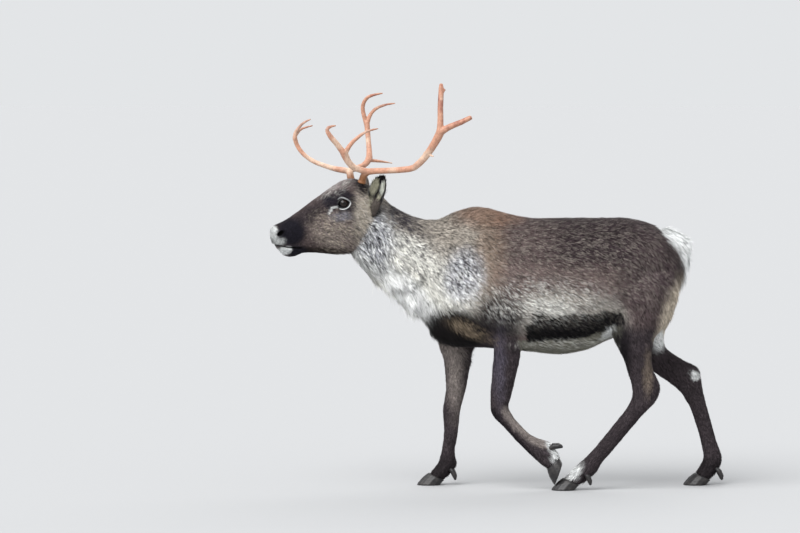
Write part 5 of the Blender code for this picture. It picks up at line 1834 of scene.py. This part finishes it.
@dataclass
class Ear(Paired):
    """One cupped ear: its shell, dark rim, and pale hair inside.

    Args:
        reach: Forward, outward and up, the way from root to tip.
        facing: Forward and outward, the way that the cup opens.
        voxel: Size of its even mesh.
        hair: Length of the outer hair, and how much longer the inner hair is.
        hair_width: Width of a tuft.
        hair_depth: How far the outer tips lie off the ear, and how much further the inner tips do.
    """

    reach: tuple[float, float, float] = (-0.020, 0.066, 0.146)
    facing: tuple[float, float] = (0.75, 0.65)
    voxel: float = 0.0019
    hair: tuple[float, float] = (0.0090, 0.0090)
    hair_width: float = 0.0013
    hair_depth: tuple[float, float] = (0.0010, 0.0036)
    item: bpy.types.Object = field(init=False)

    # Pale tufts in the dark hollow: tint, place across and from root to tip, half-width and half-height
    TUFTS = (
        (Tint.EAR_FRONT, -0.62, 0.62, 0.34, 0.24),
        (Tint.EAR_INNER, 0.22, 0.66, 0.40, 0.20),
        (Tint.EAR_FRONT, 0.10, 0.40, 0.30, 0.05),
    )
    ROUNDS = 12
    STYLE = TuftStyle(joints=2, cover=3.6, fan=9.0, sway=0.12, root_shade=0.7, grizzle=0.7)

    @property
    def axis(self) -> Points:
        """Unit direction from root to tip."""
        forward, out, up = self.reach
        return unit(HEAD.direction(np.array([[forward, out * self.side, up]])))[0]

    @property
    def opening(self) -> Points:
        """The way that the cup faces.

        Returns:
            A unit direction.
        """
        facing = HEAD.direction(np.array([[self.facing[0], self.facing[1] * self.side, 0.0]]))[0]
        facing = facing - self.axis * facing.dot(self.axis)
        return facing / np.linalg.norm(facing)

    def build(self, finish: bpy.types.Material) -> None:
        """Builds the ear's shell.

        Args:
            finish: Its material.
        """
        node = "ear_" + self.word
        self.item = remeshed(joined_nodes("ear_shell_" + self.word, [node], 0.0), self.voxel)
        mesh = self.item.data
        relax(mesh, self.ROUNDS)
        unwrap(self.item)
        # The shell's colours are painted darker, as painted shade under its hair
        set_tint(mesh, self.paint(corner_array(mesh), normal_array(mesh)) * UNDER_COAT_SHADE)
        hand_over(self.item, finish, "ear_coat", node)

    @property
    def rearward(self) -> Points:
        """Unit direction across the ear, from its front edge to its rear edge."""
        across = np.cross(self.axis, self.opening)
        return across * math.copysign(1.0, across[0])

    def place(self, points: Points) -> tuple[Points, Points]:
        """Places on the ear.

        Args:
            points: Rows of x, y, z.

        Returns:
            Share of the way from root to tip, and across from -1 at the front edge to 1 at the rear.
        """
        shell = corner_array(self.item.data)
        share = self.share(points)
        slots = np.linspace(0.2, 1.0, 9)
        owner = np.searchsorted(slots, np.clip(self.share(shell), 0.2, 1.0))
        across = shell @ self.rearward
        lows = [across[owner == slot].min() for slot in range(len(slots))]
        highs = [across[owner == slot].max() for slot in range(len(slots))]
        low, high = np.interp(share, slots, lows), np.interp(share, slots, highs)
        return share, (points @ self.rearward - low) / (high - low) * 2 - 1

    def paint(self, places: Points, normals: Points) -> Points:
        """Colours over the ear.

        Args:
            places: Rows of x, y, z.
            normals: The shell's normals there.

        Returns:
            Light-linear colours: a pale tuft and a dark hollow inside, a dark rim, grey-brown behind.
        """
        inside = smooth_step(normals @ self.opening, -0.1, 0.3)
        share, across = self.place(places)
        tints = Tint.EAR_OUTER.spread(len(places))
        front = 1 - smooth_step(across, -0.75, -0.30)
        blend(tints, Tint.EAR_FRONT.linear(), front * 0.8)
        hollow = Tint.EAR_DARK.spread(len(places))
        for tint, middle, high, wide, tall in self.TUFTS:
            reach = np.hypot((across - middle) / wide, (share - high) / tall)
            blend(hollow, tint.linear(), 1 - smooth_step(reach, 0.7, 1.15))
        inside *= smooth_step(share, 0.26, 0.40)
        blend(tints, hollow, inside)
        edge = smooth_step(np.abs(across), 0.86, 0.97) * smooth_step(share, 0.35, 0.5)
        blend(tints, Tint.EAR_EDGE.linear(), edge * 0.8)
        return tints

    def share(self, points: Points) -> Points:
        """Share of the way from root to tip."""
        reach = corner_array(self.item.data) @ self.axis
        return (points @ self.axis - reach.min()) / (reach.max() - reach.min())

    def grow(self, grower: CoatGrower, finish: bpy.types.Material) -> None:
        """Grows the ear's short outer hair and longer inner hair.

        Args:
            grower: What grows it.
            finish: Its material.
        """
        surface = Surface.of(self.item)
        tree = BVHTree.FromObject(self.item, bpy.context.evaluated_depsgraph_get())

        def normals_at(places: Points) -> Points:
            """The shell's normals."""
            return np.array([tree.find_nearest(Vector(place))[1] for place in places])

        def growth_of(places: Points) -> Growth:
            """Longer hair inside, shorter toward the tip.

            Args:
                places: Rows of x, y, z.

            Returns:
                Lie and sizes.
            """
            inside = smooth_step(normals_at(places) @ self.opening, 0.0, 0.4)
            taper = 1 - 0.55 * smooth_step(np.clip(self.share(places), 0, 1), 0.70, 1.0)
            lie = self.axis + self.opening * 0.35 * inside[:, None]
            length = (self.hair[0] + self.hair[1] * inside) * taper
            width = np.full(len(places), self.hair_width)
            return Growth(unit(lie), length, width, (self.hair_depth[0] + self.hair_depth[1] * inside) * taper)

        def paint(places: Points) -> Points:
            """Colours."""
            return self.paint(places, normals_at(places))

        for piece in grower.grow("ear_hair_" + self.word, surface, self.STYLE, lambda places: np.ones(len(places)),
                                 growth_of, paint):
            hand_over(piece, finish, "ear_coat")


@dataclass
class Coat:
    """The animal's coat over its skin.

    Args:
        skin: What it grows on.
        eyes: The eyes that it leaves free.
        soles: Height below which no hair grows.
        longest: Tuft lengths between which the long hair sets in.
        drawn: How much longer, finer and fuller the long hair is.
    """

    skin: Skin
    eyes: Sequence[Eye]
    soles: float = 0.022
    longest: tuple[float, float] = (0.032, 0.046)
    drawn: tuple[float, float, float] = (1.12, 0.55, 1.15)

    def bare(self, places: Points) -> Points:
        """Leaves the eyes, nostrils, mouth and soles bare.

        Args:
            places: Rows of x, y, z.

        Returns:
            The share of tufts wanted there.
        """
        local = HEAD.local(places)
        keep = np.ones(len(places))
        for eye in self.eyes:
            keep *= 1 - eye.within(local, 1.66, 1.84)
        sides = (np.abs(local[:, 1]) > 0.016) & (local[:, 0] > 0.3)
        keep *= 1 - sides * smooth_step(NOSTRIL.cover(local[:, 0], local[:, 2]), 0.1, 0.5)
        off_line = np.abs(local[:, 2] - mouth_height(local[:, 0]))
        keep *= 1 - (local[:, 0] > 0.285) * (off_line < 0.0022)
        return keep * (places[:, 2] > self.soles)

    def grow(self, finish: bpy.types.Material) -> None:
        """Grows the face, body, legs, and the long hair of throat, chest and tail.

        Args:
            finish: The hair's material.
        """
        surface = Surface.of(self.skin.item)

        def face(places: Points) -> Points:
            """The share of the face's tufts."""
            local = HEAD.local(places)
            return smooth_step(local[:, 0], 0.0, 0.03) * (places[:, 2] > 0.84) * self.bare(places)

        def legs(places: Points) -> Points:
            """The share of the legs' tufts."""
            return (1 - smooth_step(places[:, 2], 0.44, 0.50)) * self.bare(places)

        def body(places: Points) -> Points:
            """The share of all the others."""
            return (1 - np.clip(face(places) + legs(places), 0, 1)) * self.bare(places)

        stretches = (
            ("face", "face_coat", face, PLAN.at, TuftStyle(2, 3.4, 8.0, 0.10, 0.70, 1.05), 1),
            ("legs", "leg_coat", legs, PLAN.at, TuftStyle(2, 3.2, 8.0, 0.10, 0.66, 1.06), 2),
            ("body", "back_coat", body, PLAN.at, TuftStyle(2, 6.0, 9.0, 0.10, 0.58, 1.08), 3),
            ("long", "neck_coat", self.long_hair_share, self.long_growth,
             TuftStyle(4, 4.6, 9.0, 0.14, 0.78, 1.08, 0.28), 7),
        )
        for word, slot, keep, growth_of, style, seed in stretches:
            grower = CoatGrower(seed)
            for piece in grower.grow("coat_" + word, surface, style, keep, growth_of, MARKINGS.paint):
                hand_over(piece, finish, slot)

    def long_hair_share(self, places: Points) -> Points:
        """Where the longest hair grows: throat, chest, belly, buttock and tail."""
        share = smooth_step(PLAN.at(places).length, *self.longest)
        return share * self.bare(places) * (places[:, 2] > 0.45)

    def long_growth(self, places: Points) -> Growth:
        """The growth of the longest hair."""
        growth, (length, width, depth) = PLAN.at(places), self.drawn
        return Growth(growth.lie, growth.length * length, growth.width * width, growth.depth * depth)


@dataclass
class Antler(Paired):
    """One bare antler.

    Args:
        voxel: Size of its even mesh.
        swell: How far its pieces are grown, so that they fuse.
        brown: Heights between which the base's brown fades.
        bloody: Heights between which the dried blood begins.
    """

    voxel: float = 0.0019
    swell: float = 0.0004
    brown: tuple[float, float] = (1.170, 1.205)
    bloody: tuple[float, float] = (1.30, 1.40)

    # Smoothing rounds, and the noises of its patches and streaks with their sizes
    ROUNDS = 10
    PATCHES = (Grain(31), 0.05)
    STREAKS = (Grain(32), 0.012)

    def build(self, finish: bpy.types.Material) -> None:
        """Builds the antler over its pieces in the solids.

        Args:
            finish: Its material.
        """
        start = "antler_" + self.word + "_"
        nodes = [name for name in sorted(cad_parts) if name.startswith(start)]
        item = remeshed(joined_nodes("antler_bone_" + self.word, nodes, self.swell), self.voxel)
        relax(item.data, self.ROUNDS)
        set_tint(item.data, self.paint(corner_array(item.data)))
        hand_over(item, finish, "antler", *nodes)

    def paint(self, places: Points) -> Points:
        """Pale pinkish bone, brown at the base, with dried blood in places.

        Args:
            places: Rows of x, y, z.

        Returns:
            Light-linear colours.
        """
        height = places[:, 2]
        patches, streaks = (grain(places, size) for grain, size in (self.PATCHES, self.STREAKS))
        tints = Tint.BONE.spread(len(places))
        pale = smooth_step(patches, 0.45, 0.75)
        blend(tints, Tint.BONE_PALE.linear(), pale * 0.8)
        base = 1 - smooth_step(height + streaks * 0.02, *self.brown)
        blend(tints, Tint.BONE_BASE.linear(), base)
        tips = smooth_step(height, *self.bloody) * smooth_step(patches + streaks * 0.5, 0.60, 0.95)
        blend(tints, Tint.BLOOD.linear(), tips * 0.7)
        return tints


@dataclass
class Hoof:
    """The claws and dewclaws of one foot.

    Args:
        leg: The leg's name.
        voxel: Size of the even mesh.
    """

    leg: str
    voxel: float = 0.0020

    ROUNDS = 30

    def build(self, finish: bpy.types.Material) -> None:
        """Builds each claw as its own piece.

        Args:
            finish: Their material.
        """
        for part in ("claw_a", "claw_b", "dewclaw_a", "dewclaw_b"):
            node = f"{self.leg}_{part}"
            item = remeshed(joined_nodes("horn_" + node, [node], 0.0), self.voxel)
            relax(item.data, self.ROUNDS)
            hand_over(item, finish, "hoof", node)


@dataclass
class Studio:
    """Pale floor, soft light and the camera of the photograph's view.

    Args:
        target: The point that the camera looks at.
        distance: From there to the camera.
        elevation: Degrees above level.
        lens: Focal length for a 36 mm wide picture.
        softness: Degrees that the lights are wide.
        lights: Each light's name, the way to it and its strength.
        sky: Colour of the light from all round.
        glow: Its strength.
        ground: Light-linear colour of the floor.
        reach: Half-size of the floor.
    """

    target: tuple[float, float, float] = (-0.369, 0.0, 0.834)
    distance: float = 15.0
    elevation: float = 2.5
    lens: float = 180.0
    softness: float = 50.0
    lights: tuple[tuple[str, tuple[float, float, float], float], ...] = (
        ("key_light", (-0.50, -0.62, 0.90), 3.5), ("back_light", (0.35, 0.85, 0.75), 1.2))
    sky: tuple[float, float, float] = (0.96, 0.98, 1.0)
    glow: float = 0.80
    ground: tuple[float, float, float] = (0.418, 0.4215, 0.427)
    reach: float = 400.0

    def build(self) -> None:
        """Builds all of it."""
        self.build_floor()
        self.build_camera()
        for light in self.lights:
            self.build_light(*light)
        world = bpy.data.worlds.new("studio")
        world.use_nodes = True
        background = world.node_tree.nodes["Background"]
        background.inputs["Color"].default_value = (*self.sky, 1.0)
        background.inputs["Strength"].default_value = self.glow
        bpy.context.scene.world = world
        bpy.context.scene.view_settings.view_transform = "Standard"

    def build_floor(self) -> None:
        """A wide pale floor."""
        mesh = bmesh.new()
        bmesh.ops.create_grid(mesh, x_segments=1, y_segments=1, size=self.reach)
        data = stored(mesh, "floor")
        floor = new_object("floor", data)
        finish = Shader("floor").finish(base_color=np.array(self.ground), roughness=1.0, specular_ior_level=0.0)
        data.materials.append(finish)

    def build_camera(self) -> None:
        """The camera, level with the animal's flank."""
        slope = math.radians(self.elevation)
        back = Vector((0.0, -math.cos(slope), math.sin(slope)))
        camera = bpy.data.objects.new("camera", bpy.data.cameras.new("camera"))
        camera.location = Vector(self.target) + back * self.distance
        camera.rotation_euler = (-back).to_track_quat("-Z", "Y").to_euler()
        camera.data.sensor_width = 36.0
        camera.data.lens = self.lens
        bpy.context.scene.collection.objects.link(camera)
        bpy.context.scene.camera = camera

    def build_light(self, name: str, toward: tuple[float, float, float], strength: float) -> None:
        """Builds one far, soft light.

        Args:
            name: Its name.
            toward: The way from the animal to it.
            strength: How strong it is.
        """
        light = bpy.data.lights.new(name, "SUN")
        light.energy = strength
        light.angle = math.radians(self.softness)
        lamp = bpy.data.objects.new(name, light)
        lamp.rotation_euler = (-Vector(toward)).to_track_quat("-Z", "Y").to_euler()
        bpy.context.scene.collection.objects.link(lamp)


def main() -> None:
    """Builds every piece in order."""
    logging.basicConfig(level=logging.INFO, format="%(message)s")
    Studio().build()
    skin_finish = SkinFinish().build()
    coat_finish = CoatFinish().build()
    eyes = [Eye(word) for word in SIDES]
    skin = Skin()
    skin.build(skin_finish, eyes)
    tree = skin.tree()
    eye_finish = EyeFinish().build()
    lid_finish = LidFinish().build()
    for eye in eyes:
        eye.build_ball(eye_finish)
        eye.build_lids(tree, lid_finish)
    antler_finish = AntlerFinish().build()
    for word in SIDES:
        Antler(word).build(antler_finish)
    horn_finish = HornFinish().build()
    for leg in LEGS:
        Hoof(leg).build(horn_finish)
    for seed, word in enumerate(SIDES, 20):
        ear = Ear(word)
        ear.build(skin_finish)
        ear.grow(CoatGrower(seed), coat_finish)
    Coat(skin, eyes).grow(coat_finish)


if __name__ == "__main__":
    main()
